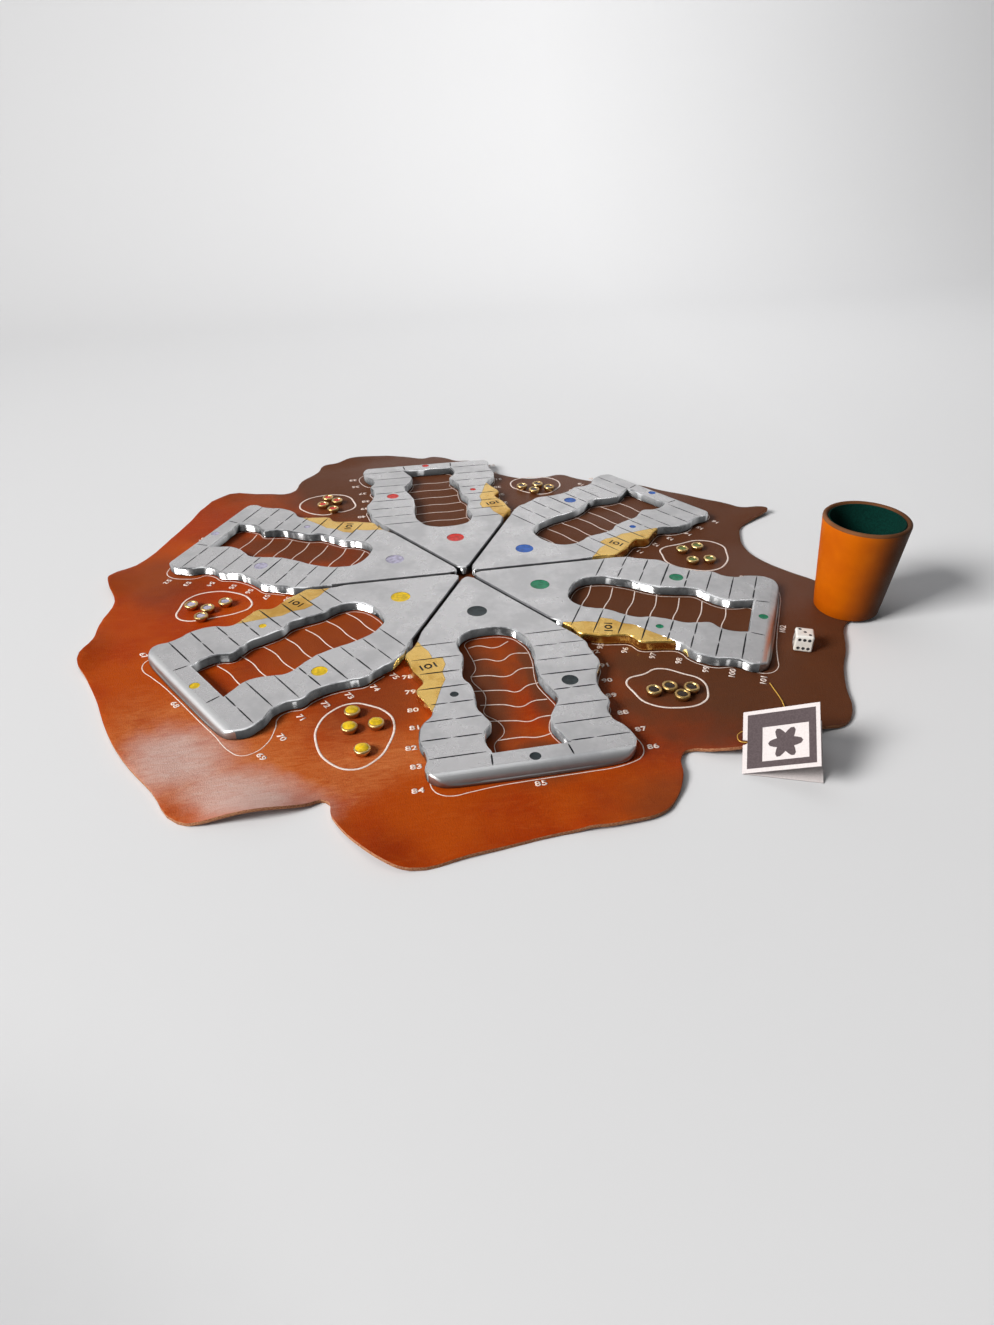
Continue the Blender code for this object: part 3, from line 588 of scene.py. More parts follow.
def makeMetal(name, look):
    # one cast metal: look gives its two tones, its gloss and how lumpy it is
    material, tree, surface, place = newMaterial(name, look["tone"], Metallic=1.0, Roughness=look["gloss"][0])
    cast = useGroup(tree, castGroup, place, {
        "Lumps": look["lumps"], "Marks": look["marks"], "Marks Share": look["marksShare"],
    })
    toned = mixed(tree, cast.outputs["Smudge And Reflection"], look["tone"], look["shadeTone"])
    # painted shade: the walls darken towards their foot
    if "foot" in look:
        height, strength = look["foot"]
        apart = addNode(tree, "SeparateXYZ", {"Vector": place})
        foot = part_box("arm_black")[0].z
        near = ranged(tree, apart.outputs["Z"], foot, foot + height, strength, 0.0)
        toned = mixed(tree, near, toned, footShade)
    feed(tree, toned, surface.inputs["Base Color"])
    feed(tree, ranged(tree, cast.outputs["Smudge And Reflection"], 0, 1, *look["gloss"]), surface.inputs["Roughness"])
    bump = addBump(tree, surface, cast.outputs["Height"], look["bump"], look["depth"])
    if "filed" in look:
        facets, swing, lean = look["filed"]
        filed = useGroup(tree, fluteGroup, place, {"Facets": facets, "Swing": swing, "Lean": lean})
        feed(tree, filed.outputs["Normal"], bump.inputs["Normal"])
    return material


# painted shade, almost black, on the cup's side away from the board and the light: its place off the cup's
# middle, and its reach
cupShade = {"offset": (0.034, -0.026), "reach": 0.060, "ragged": 0.12, "tone": (0.085, 0.034, 0.014)}


def makeCupLeather(name, tone, deep, gloss):
    material, tree, surface, place = newMaterial(name, tone, Roughness=gloss, Specular_IOR_Level=0.06)
    dye = useGroup(tree, mottleGroup, place, {"Scale": 24.0, "Detail": 4.0, "First": tone, "Second": deep})
    grain = useGroup(tree, grainGroup, place, {"Pores": 1400.0, "Swell": 120.0, "Swell Share": 0.8})
    pored = addPores(tree, grain, deep, dye.outputs["Color"], 0.7)
    x, y = footOf("cup_wall")[:2]
    # painted shade on that side of the cup
    side = useGroup(tree, spotGroup, place, {
        "Middle": (x + cupShade["offset"][0], y + cupShade["offset"][1], 0),
        "Size": (cupShade["reach"], cupShade["reach"], 1), "Ragged": cupShade["ragged"],
    })
    shadedSide = mixed(tree, side.outputs["Mask"], pored, cupShade["tone"])
    feed(tree, shadedSide, surface.inputs["Base Color"])
    sheen = ranged(tree, dye.outputs["Mask"], 0, 1, gloss - 0.05, gloss + 0.10)
    feed(tree, sheen, surface.inputs["Roughness"])
    addBump(tree, surface, grain.outputs["Height"], 0.2, 0.0004)
    return material


def makeGoldThread():
    material, tree, surface, place = newMaterial("goldThread", (0.85, 0.50, 0.08), Metallic=0.5,
                                                 Roughness=0.4)
    twist = addNode(tree, "TexWave", {
        "Vector": place, "Scale": 700.0, "Distortion": 1.5,
    }, bands_direction="DIAGONAL").outputs["Fac"]
    feed(tree, mixed(tree, twist, (0.62, 0.30, 0.03), (1.0, 0.66, 0.14)), surface.inputs["Base Color"])
    addBump(tree, surface, twist, 0.6, 0.0002)
    return material


hideLeather = makeHideLeather()
hideCutEdge = makeMottled("hideCutEdge", (0.42, 0.15, 0.06), {
    "tones": ((0.30, 0.09, 0.035), (0.55, 0.26, 0.12)), "clouds": (900.0, 3.0), "bump": (0.5, 0.0003),
}, Roughness=0.8)
hidePaint = makeMottled("hidePaint", (0.84, 0.72, 0.66), {
    "tones": ((0.88, 0.80, 0.75), (0.72, 0.50, 0.40)), "clouds": (420.0, 4.0, 0.30, 0.80),
    "bump": (0.3, 0.0001),
}, Roughness=0.6)
satinAluminium = makeMetal("satinAluminium", {
    "tone": (0.63, 0.62, 0.625), "shadeTone": (0.53, 0.525, 0.53), "gloss": (0.27, 0.36),
    "lumps": 40.0, "marks": 700.0, "marksShare": 0.06, "bump": 0.14, "depth": 0.0012,
})
# its shade tone is painted dark reflection, in patches on the polished walls
polishedAluminium = makeMetal("polishedAluminium", {
    "tone": (0.66, 0.66, 0.66), "shadeTone": (0.14, 0.14, 0.145), "gloss": (0.14, 0.26),
    "lumps": 80.0, "marks": 420.0, "marksShare": 0.05, "bump": 0.18, "depth": 0.0016,
    "filed": (62.0, 1.10, 0.80), "foot": (0.0085, 0.85),
})
rolledAluminium = makeMetal("rolledAluminium", {
    "tone": (0.60, 0.60, 0.60), "shadeTone": (0.48, 0.48, 0.49), "gloss": (0.42, 0.50),
    "lumps": 45.0, "marks": 300.0, "marksShare": 0.05, "bump": 0.18, "depth": 0.0012,
    "foot": (0.0080, 0.9),
})
# painted shade: a dark metal for the walls in the narrow seams between the arms
seamShadeAluminium = makeMetal("seamShadeAluminium", {
    "tone": (0.20, 0.20, 0.205), "shadeTone": (0.10, 0.10, 0.105), "gloss": (0.34, 0.5),
    "lumps": 110.0, "marks": 700.0, "marksShare": 0.2, "bump": 0.3, "depth": 0.0012,
})
grooveShadow = makeMetal("grooveShadow", {
    "tone": (0.06, 0.06, 0.065), "shadeTone": (0.03, 0.03, 0.035), "gloss": (0.5, 0.7),
    "lumps": 400.0, "marks": 1500.0, "marksShare": 0.4, "bump": 0.4, "depth": 0.0004,
})
patchBrass = makeMetal("patchBrass", {
    "tone": (0.84, 0.55, 0.16), "shadeTone": (0.62, 0.34, 0.06), "gloss": (0.24, 0.36),
    "lumps": 120.0, "marks": 700.0, "marksShare": 0.15, "bump": 0.4, "depth": 0.0016,
})
tokenBrass = makeMetal("tokenBrass", {
    "tone": (0.66, 0.46, 0.20), "shadeTone": (0.42, 0.27, 0.10), "gloss": (0.26, 0.42),
    "lumps": 300.0, "marks": 1200.0, "marksShare": 0.3, "bump": 0.5, "depth": 0.0008,
})
enamelTones = {
    "black": (0.022, 0.032, 0.036), "green": (0.006, 0.22, 0.10), "blue": (0.02, 0.12, 0.50),
    "red": (0.68, 0.022, 0.012), "white": (0.50, 0.47, 0.62), "yellow": (0.88, 0.58, 0.006),
}
enamels = {player: makeEnamel(player, tone) for player, tone in enamelTones.items()}
# thin enamel over brass in the tokens of three players
tokenEnamels = {
    "black": makeEnamel("blackThin", (0.040, 0.022, 0.014)),
    "green": makeEnamel("greenThin", (0.13, 0.20, 0.035)),
    "blue": makeEnamel("blueThin", (0.075, 0.055, 0.075)),
}
dieResin = makeMottled("dieResin", (0.86, 0.84, 0.79), {
    "tones": ((0.88, 0.86, 0.81), (0.80, 0.77, 0.70)), "clouds": (160.0, 3.0), "gloss": (0.18, 0.30),
}, Roughness=0.22, Coat_Weight=0.3, Coat_Roughness=0.1)
pipPaint = makeCard("pipPaint", (0.012, 0.012, 0.014), (0.03, 0.03, 0.034))
cupLeather = makeCupLeather("cupLeather", (0.60, 0.130, 0.001), (0.52, 0.100, 0.001), 0.46)
cupRimLeather = makeCupLeather("cupRimLeather", (0.22, 0.088, 0.034), (0.13, 0.050, 0.020), 0.5)
cupFelt = makeMottled("cupFelt", (0.002, 0.05, 0.035), {
    "tones": ((0.0006, 0.019, 0.014), (0.001, 0.030, 0.022)), "clouds": (700.0, 5.0), "bump": (0.35, 0.0003),
}, Roughness=0.95, Specular_IOR_Level=0.1)
tagPaper = makeCard("tagPaper", (0.74, 0.68, 0.67), (0.67, 0.61, 0.60))
tagInk = makeCard("tagInk", (0.060, 0.040, 0.043), (0.092, 0.066, 0.070))
goldThread = makeGoldThread()
print("finishes made:", len(bpy.data.materials))


# the gold thread, on the route that the frame's own thread takes

thread = {
    "diameter": 0.0009,
    "tagPlace": (0.1490, -0.3277, 0.0),
    # (x, y) from the tag's place and the height over the table, from the hide to the fold
    "route": (
        (0.0690, 0.0977, 0.0038), (0.0686, 0.0897, 0.0038), (0.0682, 0.0817, 0.0038),
        (0.0672, 0.0717, 0.0039), (0.0640, 0.0617, 0.0045), (0.0570, 0.0527, 0.0060),
        (0.0470, 0.0447, 0.0080), (0.0350, 0.0397, 0.0092), (0.0230, 0.0374, 0.0098),
        (0.0150, 0.0360, 0.0096), (0.0098, 0.0325, 0.0101), (0.0074, 0.0282, 0.0113),
        (0.0062, 0.0245, 0.0123), (0.0068, 0.0219, 0.0126), (0.0095, 0.0204, 0.0126),
        (0.0140, 0.0187, 0.0134),
    ),
}


def smoothRoute(points, partsPerSpan=8):
    # a Catmull-Rom curve through the route's own points
    route = [Vector(point) for point in points]
    padded = [2 * route[0] - route[1], *route, 2 * route[-1] - route[-2]]
    fine = []
    for a, b, c, d in zip(padded, padded[1:], padded[2:], padded[3:]):
        for part in range(partsPerSpan):
            t = part / partsPerSpan
            fine.append((2 * b + (c - a) * t + (2 * a - 5 * b + 4 * c - d) * t * t
                         + (3 * b - a - 3 * c + d) * t ** 3) / 2)
    return [*fine, route[-1]]


def makeThread():
    points = smoothRoute([Vector(thread["tagPlace"]) + Vector(point) for point in thread["route"]])
    curve = bpy.data.curves.new("tagThread", "CURVE")
    curve.dimensions = "3D"
    curve.bevel_depth = thread["diameter"] / 2
    curve.bevel_resolution = 2
    curve.use_fill_caps = True
    spline = curve.splines.new("POLY")
    spline.points.add(len(points) - 1)
    for knot, point in zip(spline.points, points):
        knot.co = (*point, 1)
    spline.use_smooth = True
    curve.materials.append(goldThread)
    piece = bpy.data.objects.new("tagThread", curve)
    bpy.context.scene.collection.objects.link(piece)
    onBody(piece, "mat", "gold_thread", "tag_thread")


makeThread()


# the hide

hide = {
    "reach": 0.360, "thickness": 0.003, "cell": 0.0065, "gridShare": 2.2, "edgeRound": 0.0009,
    # the cut edge in shares of the reach
    "edge": (
        (-0.15, 1.01), (-0.06, 0.98), (0.00, 0.95), (0.04, 0.96), (0.08, 0.94), (0.12, 0.90), (0.17, 0.89),
        (0.20, 0.86), (0.22, 0.79), (0.25, 0.74), (0.34, 0.68), (0.40, 0.68), (0.46, 0.69), (0.50, 0.65),
        (0.55, 0.61), (0.70, 0.54), (0.76, 0.48), (0.83, 0.42), (0.86, 0.39), (0.93, 0.33), (0.96, 0.29),
        (1.02, 0.265), (1.03, 0.245), (1.01, 0.23), (0.94, 0.19), (0.90, 0.16), (0.87, 0.10), (0.85, 0.03),
        (0.855, -0.04), (0.91, -0.15), (0.95, -0.21), (0.98, -0.27), (0.99, -0.33), (0.97, -0.39),
        (0.91, -0.44), (0.85, -0.55), (0.81, -0.61), (0.77, -0.69), (0.74, -0.77), (0.70, -0.81),
        (0.63, -0.82), (0.53, -0.84), (0.43, -0.86), (0.38, -0.845), (0.33, -0.825), (0.31, -0.84),
        (0.29, -0.90), (0.25, -0.96), (0.21, -0.99), (0.15, -1.00), (0.01, -1.00), (-0.17, -1.02),
        (-0.28, -1.03), (-0.32, -1.01), (-0.37, -0.95), (-0.41, -0.87), (-0.42, -0.82), (-0.46, -0.83),
        (-0.51, -0.84), (-0.61, -0.84), (-0.70, -0.82), (-0.76, -0.72), (-0.83, -0.61), (-0.88, -0.50),
        (-0.92, -0.38), (-0.96, -0.28), (-0.99, -0.21), (-0.97, -0.12), (-0.97, -0.04), (-0.95, 0.08),
        (-0.98, 0.18), (-0.98, 0.21), (-0.90, 0.32), (-0.82, 0.50), (-0.68, 0.75), (-0.56, 0.74),
        (-0.48, 0.73), (-0.44, 0.82), (-0.38, 0.90), (-0.36, 0.95), (-0.31, 0.96), (-0.26, 0.99),
    ),
    # where the edge curls up: (x, y) in shares of the reach, and the share of the full height
    "curls": (
        (-0.55, -0.93, 1.0), (-0.41, -1.04, 0.4), (-1.09, -0.16, 0.8), (-1.07, 0.20, 0.7),
        (1.08, 0.25, 0.3), (0.17, -1.12, 0.5), (-0.31, 1.09, 0.5), (-0.78, 0.83, 0.4),
        (0.430, -0.940, 0.75), (0.590, -0.930, 0.7),
    ),
    "curlHeight": 0.020, "curlSpread": 0.041, "curlFade": 0.10,
    # the soft fold across the front lobe: where it starts and ends, its height and half width
    "crease": ((0.010, -0.326), (0.030, -0.372), 0.0022, 0.007),
    # small ripples, only past the arms, so that nothing is pushed up
    "rippleHeight": 0.0016, "rippleFrom": 0.318, "rippleFade": 0.04, "rippleScale": 24,
}


def creaseLift(x, y):
    (x1, y1), (x2, y2), height, halfWidth = hide["crease"]
    along = Vector((x2 - x1, y2 - y1))
    offset = Vector((x - x1, y - y1))
    share = max(0.0, min(1.0, offset.dot(along) / along.length_squared))
    distance = (offset - along * share).length
    return height * share * math.exp(-(distance / halfWidth) ** 2)


def hideLift(x, y):
    # how far the hide's underside is off the table
    lift = 0.0
    for across, along, share in hide["curls"]:
        distance = math.hypot(x - across * hide["reach"], y - along * hide["reach"])
        swell = math.exp(-(distance / hide["curlSpread"]) ** 2)
        lift += share * hide["curlHeight"] * max(0.0, swell - hide["curlFade"])
    far = max(0.0, min(1.0, (math.hypot(x, y) - hide["rippleFrom"]) / hide["rippleFade"]))
    ripple = noise.noise(Vector((x * hide["rippleScale"], y * hide["rippleScale"], 0.3)))
    return lift + creaseLift(x, y) + far * hide["rippleHeight"] * max(0.0, ripple + 0.25)


def hideTop(x, y):
    return hideLift(x, y) + hide["thickness"]


# how deep the slabs are that cut other pieces to their outline
cutterDepth = 0.02


def makeHide():
    reach = hide["reach"]
    edge = [(x * reach, y * reach) for x, y in hide["edge"]]
    prism = outlineSlab("hideShape", [edge], cutterDepth, resolution=4)
    # a fine grid of the hide's thickness, cut to the outline, so that it can bend
    side = hide["gridShare"] * reach
    cells = int(side / hide["cell"])
    piece = added(bpy.ops.mesh.primitive_grid_add, "hideSheet", hideLeather, size=side,
                  x_subdivisions=cells, y_subdivisions=cells)
    editAll(piece)
    bpy.ops.mesh.extrude_region_move(TRANSFORM_OT_translate={"value": (0, 0, hide["thickness"])})
    bpy.ops.mesh.select_all(action="SELECT")
    bpy.ops.mesh.normals_make_consistent(inside=False)
    backToObject()
    prism.data.materials.append(hideCutEdge)
    cutWith(piece, prism, "INTERSECT")
    remove(prism)
    # the rim is rounded over, then every point goes to its height
    addAndApply(piece, "BEVEL", width=hide["edgeRound"], segments=2, limit_method="ANGLE",
                angle_limit=math.radians(50))
    for vertex in piece.data.vertices:
        vertex.co.z += hideLift(vertex.co.x, vertex.co.y)
    smoothShade(piece, 60)
    onBody(piece, "mat", "hide_leather", "leather_mat")
    return piece


makeHide()
print("hide made")


# one arm, in its own frame: across is to the right seen from outside, out is towards -y

arm = {
    "reach": 0.3015, "halfWidth": 0.085, "thickness": 0.0097, "edgeRound": 0.0019,
    "seamHalf": 0.0012, "noseReach": 0.0098, "noseLength": 0.004,
    "firstGroove": 0.1266, "endCell": 0.0230, "grooves": 8, "endBar": 0.0220,
    "rightWedge": 0.1155, "leftWedge": 0.1035, "archRise": 0.0173, "windowHalf": 0.0290,
    # half widths at every half cell outwards, in shares of the half width
    "rightEdge": (0.845, 0.92, 0.965, 0.97, 0.985, 1.0, 0.945, 0.895, 0.87, 0.87, 0.90, 0.845, 0.845, 0.91,
                  0.955, 0.945),
    "leftEdge": (0.80, 0.895, 0.88, 0.865, 0.82, 0.79, 0.865, 0.835, 0.785, 0.765, 0.87, 0.92, 0.935, 0.905,
                 0.90, 0.93),
    "windowRight": (0.34, 0.38, 0.385, 0.38, 0.36, 0.345, 0.34, 0.365, 0.40, 0.425, 0.36, 0.295, 0.275, 0.31),
    "windowLeft": (
        0.335, 0.345, 0.325, 0.345, 0.375, 0.385, 0.335, 0.325, 0.33, 0.34, 0.295, 0.26, 0.34, 0.355,
    ),
    "corners": ((0.85, 0.993), (0.78, 1.0), (-0.77, 1.0), (-0.85, 0.992)),
    "windowCorners": (0.36, -0.325),
    "endRound": 0.0082, "endRoundLeast": 0.30,
    "lump": 0.00050, "lumpScale": 150,
    # the walls beside the seams get painted shade, a darker metal: how far short of the wedge's end, and how
    # close to the seam
    "seamShade": (0.004, 0.0024),
}
arm["pitch"] = (arm["reach"] - arm["endCell"] - arm["firstGroove"]) / (arm["grooves"] - 1)
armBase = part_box("arm_black")[0].z
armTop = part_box("arm_black")[1].z
armMiddle = (armBase + armTop) / 2

patch = {
    "start": 0.1170, "noseAcross": 0.0640, "tip": arm["firstGroove"] + 4.42 * arm["pitch"],
    "gap": 0.0003, "overrun": 0.004, "tipStep": 9,
    # the inner edge in half cells and in shares of the half width, with a step at the second groove
    "edge": ((0, 0.715), (0.9, 0.66), (1.5, 0.645), (1.98, 0.64), (2.05, 0.535), (3, 0.525), (4, 0.575),
             (5, 0.565), (6, 0.625), (7, 0.67), (8, 0.715)),
}

# (across, out, radius) of the enamel dots
laneDotOut = arm["firstGroove"] + 3.52 * arm["pitch"]
dots = {
    "home": (-0.0026, 0.0786, 0.0094), "start": (0.0525, laneDotOut, 0.0070),
    "rest": (-0.0440, laneDotOut, 0.0036), "end": (0.0020, 0.2905, 0.0044),
}
dotDepth = 0.0013
dotSink = 0.0003
dotGap = 0.00012
dotSides = 64

groove = {
    "width": 0.0028, "depth": 0.0010, "inset": 0.0022, "above": 0.002,
    # how much of its width is left along the keel and at the ends, and how far the ends rise
    "keel": 0.25, "ends": 0.45, "endRise": 0.6,
    # the last groove starts here, past the window's end; the rest start at the window
    "lastInner": 0.0300,
    # how often a groove is made in two strokes, and how far from the break the first ends and the second starts
    "broken": 0.45, "strokeGap": (0.0006, 0.0012),
    # the mark outwards from each of the window's corners: across, out, length and turn
    "cornerMark": (0.0298, 0.2880, 0.0125, 0.10),
}


def seamLine(out):
    half = armTurn / 2
    return out * math.tan(half) - arm["seamHalf"] / math.cos(half)


def halfCell(index):
    return arm["firstGroove"] + index * arm["pitch"] / 2


def edgeAcross(side, index):
    share = arm["rightEdge" if side > 0 else "leftEdge"][index]
    return min(share * arm["halfWidth"], seamLine(halfCell(index)))


def windowAcross(side, index):
    return arm["windowRight" if side > 0 else "windowLeft"][index] * arm["halfWidth"]


def armLoop():
    noseSide = arm["noseReach"] + arm["noseLength"]
    steps = range(len(arm["rightEdge"]))
    loop = [(0, -arm["noseReach"]), (seamLine(noseSide), -noseSide, "VECTOR")]
    loop.append((seamLine(arm["rightWedge"]), -arm["rightWedge"], "VECTOR"))
    loop += [(edgeAcross(1, index), -halfCell(index)) for index in steps]
    loop += [(x * arm["halfWidth"], -out * arm["reach"]) for x, out in arm["corners"]]
    loop += [(-edgeAcross(-1, index), -halfCell(index)) for index in reversed(steps)]
    loop.append((-seamLine(arm["leftWedge"]), -arm["leftWedge"], "VECTOR"))
    loop.append((-seamLine(noseSide), -noseSide, "VECTOR"))
    return loop


def windowLoop():
    steps = range(len(arm["windowRight"]))
    loop = []
    for quarter in (1, 2, 3):
        angle = math.pi * quarter / 4
        loop.append((-arm["windowHalf"] * math.cos(angle),
                     -arm["firstGroove"] + arm["archRise"] * math.sin(angle)))
    loop += [(windowAcross(1, index), -halfCell(index)) for index in steps]
    windowEnd = arm["reach"] - arm["endBar"]
    loop += [(share * arm["halfWidth"], -windowEnd, "VECTOR") for share in arm["windowCorners"]]
    loop += [(-windowAcross(-1, index), -halfCell(index)) for index in reversed(steps)]
    return loop


def patchLoop():
    outside = arm["halfWidth"] + patch["overrun"]
    loop = [(-outside, -patch["start"], "VECTOR"), (-patch["noseAcross"], -patch["start"], "VECTOR")]
    for step, share in patch["edge"]:
        loop.append((-share * arm["halfWidth"], -halfCell(step), "VECTOR"))
    loop.append((-edgeAcross(-1, patch["tipStep"]), -patch["tip"], "VECTOR"))
    loop.append((-outside, -patch["tip"] - patch["overrun"], "VECTOR"))
    return loop


def grown(loop, amount):
    # pushes a loop's inner side out by the seam between brass and aluminium
    return [(x + amount if x > -arm["halfWidth"] else x, y, *handle) for x, y, *handle in loop]


def roundEndBar(piece):
    # rows of points close to the outer end, then its top rolled over and its foot drawn in a little
    radius = arm["endRound"]
    for share in (0.03, 0.10, 0.20, 0.32, 0.46, 0.62, 0.80, 0.96):
        editAll(piece)
        bpy.ops.mesh.bisect(plane_co=(0, -arm["reach"] + radius * share, 0), plane_no=(0, 1, 0))
        backToObject()
    floor = -arm["thickness"] / 2
    for vertex in piece.data.vertices:
        inward = (arm["reach"] + vertex.co.y) / radius
        if inward < 1:
            roll = math.sqrt(max(0.0, 1 - (1 - max(0.0, inward)) ** 2))
            roll = arm["endRoundLeast"] + (1 - arm["endRoundLeast"]) * roll
            vertex.co.z = floor + (vertex.co.z - floor) * roll
    piece.data.materials.append(rolledAluminium)
    start = -arm["reach"] + 0.9 * radius
    for face in piece.data.polygons:
        if face.center.y < start and face.material_index < 2:
            face.material_index = len(piece.data.materials) - 1


def makeBlank():
    blank = outlineSlab("armBlank", [armLoop(), windowLoop()], arm["thickness"], arm["edgeRound"])
    for material in (satinAluminium, polishedAluminium, seamShadeAluminium):
        blank.data.materials.append(material)
    for vertex in blank.data.vertices:
        spot = Vector((vertex.co.x, vertex.co.y, 0.002 + 0.2 * vertex.co.z)) * arm["lumpScale"]
        push = noise.noise_vector(spot) * arm["lump"]
        vertex.co.x += push.x
        vertex.co.y += push.y
    # the walls beside the seams take the painted shade
    short, close = arm["seamShade"]
    for face in blank.data.polygons:
        spot = face.center
        besideSeam = -spot.y < arm["rightWedge"] - short and abs(spot.x) > seamLine(-spot.y) - close
        face.material_index = 0 if face.normal.z > 0.95 else 2 if besideSeam else 1
    return blank


def makeGrooveBar(across, out, length, width, turn):
    # a boat-shaped bar: a box narrowed along its keel and drawn in at both ends
    bar = added(bpy.ops.mesh.primitive_cube_add, "grooveBar", grooveShadow, size=1)
    editAll(bar)
    bpy.ops.transform.resize(value=(length, width, groove["depth"] + groove["above"]))
    cutLines(((share * length, 0, 0), (1, 0, 0)) for share in (-0.3, 0.3))
    backToObject()
    keel = -(groove["depth"] + groove["above"]) / 2
    for vertex in bar.data.vertices:
        if vertex.co.z < 0:
            vertex.co.y *= groove["keel"]
        if abs(vertex.co.x) > 0.4 * length:
            vertex.co.y *= groove["ends"]
            if vertex.co.z < 0:
                vertex.co.z = keel + groove["endRise"] * groove["depth"]
    height = arm["thickness"] / 2 - groove["depth"] - keel
    bar.data.transform(Matrix.Translation((across, -out, height)) @ Matrix.Rotation(turn, 4, "Z"))
    return bar


def laneGrooves():
    # across each lane, from near the window's edge to near the outer edge, some in two strokes
    bars = []
    for index in range(arm["grooves"]):
        cell = 2 * index
        out = halfCell(cell)
        for side in (-1, 1):
            if index < arm["grooves"] - 1:
                inner = windowAcross(side, min(cell, len(arm["windowRight"]) - 1))
            else:
                inner = groove["lastInner"]
            outer = edgeAcross(side, cell)
            low = inner + groove["inset"]
            high = outer - groove["inset"] * (0.6 + 0.5 * noise.random())
            turn = math.radians(1.4) * (noise.random() - 0.5) - side * math.radians(0.6)
            strokes = [(low, high)]
            if noise.random() < groove["broken"]:
                split = low + (high - low) * (0.35 + 0.3 * noise.random())
                before, after = groove["strokeGap"]
                strokes = [(low, split - before), (split + after, high)]
            for start, end in strokes:
                width = groove["width"] * (0.8 + 0.4 * noise.random())
                middle = side * (start + end) / 2
                bars.append(makeGrooveBar(middle, out + middle * math.tan(turn) * 0.5, end - start, width,
                                          turn))
    across, out, length, turn = groove["cornerMark"]
    for side in (-1, 1):
        bars.append(makeGrooveBar(side * across, out, length, groove["width"], math.pi / 2 + side * turn))
    return joined(bars, "grooveBars")


def makeDotCutter():
    sinks = []
    for across, out, radius in dots.values():
        sink = added(bpy.ops.mesh.primitive_cylinder_add, "dotSink", grooveShadow, vertices=dotSides,
                     radius=radius, depth=dotDepth + groove["above"])
        height = arm["thickness"] / 2 - dotDepth + (dotDepth + groove["above"]) / 2
        sink.data.transform(Matrix.Translation((across, -out, height)))
        sinks.append(sink)
    return joined(sinks, "dotSinks")


def makeDot(name, dot):
    # a shallow pool of enamel whose skin draws down towards its middle
    across, out, radius = dot
    floor = arm["thickness"] / 2 - dotDepth
    top = arm["thickness"] / 2 - dotSink
    small = radius - dotGap
    profile = (
        (small, floor + 0.00005), (small, top + 0.00012), (small * 0.94, top), (small * 0.75, top - 0.0001),
        (small * 0.4, top - 0.00016), (small * 0.05, top - 0.00018),
    )
    piece = turnedRing(name, profile, dotSides, None)
    closeEnds(piece)
    tidyMesh(piece, 45)
    piece.data.transform(Matrix.Translation((across, -out, 0)))
    return piece


# the mark stamped in the patch's second cell: a plain ring between two short bars
stamp = {
    "across": -0.0592, "out": 0.1592, "turn": 14, "radius": 0.0036, "stroke": 0.0017, "depth": 0.0007,
    "barAway": 0.0062, "barLength": 0.0076, "barRound": 0.0003, "tall": 0.002, "sides": 32,
}


def makeStamp():
    height = arm["thickness"] / 2 - stamp["depth"] + stamp["tall"] / 2
    ring = added(bpy.ops.mesh.primitive_cylinder_add, "stampRing", grooveShadow, vertices=stamp["sides"],
                 radius=stamp["radius"], depth=stamp["tall"])
    selectFaces(ring, lambda face: abs(face.normal.z) > 0.9)
    bpy.ops.mesh.inset(thickness=stamp["stroke"])
    bpy.ops.mesh.bridge_edge_loops()
    backToObject()
    marks = [ring]
    for side in (1, -1):
        bar = added(bpy.ops.mesh.primitive_cube_add, "stampBar", grooveShadow, size=1)
        editAll(bar)
        bpy.ops.transform.resize(value=(stamp["stroke"], stamp["barLength"], stamp["tall"]))
        bpy.ops.mesh.bevel(offset=stamp["barRound"], segments=2, affect="EDGES")
        backToObject()
        bar.data.transform(Matrix.Translation((side * stamp["barAway"], 0, 0)))
        marks.append(bar)
    piece = joined(marks, "stampMarks")
    place = (Matrix.Translation((stamp["across"], -stamp["out"], height))
             @ Matrix.Rotation(math.radians(stamp["turn"]), 4, "Z"))
    piece.data.transform(place)
    return piece


def makeArms():
    noise.seed_set(7)
    blank = makeBlank()
    brass = copyOf(blank, "patchBlank")
    refinish(brass, patchBrass)
    for face in brass.data.polygons:
        face.material_index = 0
    loop = patchLoop()
    seat = outlineSlab("patchSeat", [grown(loop, patch["gap"])], cutterDepth, resolution=1)
    seat.data.materials.append(polishedAluminium)
    region = outlineSlab("patchRegion", [loop], cutterDepth, resolution=1)
    region.data.materials.append(patchBrass)
    cutWith(blank, seat)
    cutWith(brass, region, "INTERSECT")
    sinks = makeDotCutter()
    cutWith(blank, sinks)
    bars = laneGrooves()
    cutWith(blank, bars)
    cutWith(brass, bars)
    marks = makeStamp()
    cutWith(brass, marks)
    for cutter in (seat, region, sinks, bars, marks):
        remove(cutter)
    roundEndBar(blank)
    for piece in (blank, brass):
        smoothShade(piece, 38)
        levelNormals(piece)
    pools = {name: makeDot("dot_" + name, dot) for name, dot in dots.items()}
    for index, player in enumerate(players):
        place = Matrix.Rotation(index * armTurn, 4, "Z") @ Matrix.Translation((0, 0, armMiddle))
        casting = copyOf(blank, "casting_" + player, place)
        onBody(casting, "arm_" + player, "cast_aluminium", "arm_" + player)
        inlay = copyOf(brass, "inlay_" + player, place)
        onBody(inlay, "arm_" + player, "patch_brass", "brass_patch_" + player)
        for name, pool in pools.items():
            fill = copyOf(pool, name + "Enamel_" + player, place)
            refinish(fill, enamels[player])
            nodes = [name + "_dot_" + player] if name in ("home", "start") else []
            onBody(fill, "arm_" + player, "enamel_" + player, *nodes)
    print("arm faces:", len(blank.data.polygons), "patch faces:", len(brass.data.polygons))
    for piece in (blank, brass, *pools.values()):
        remove(piece)


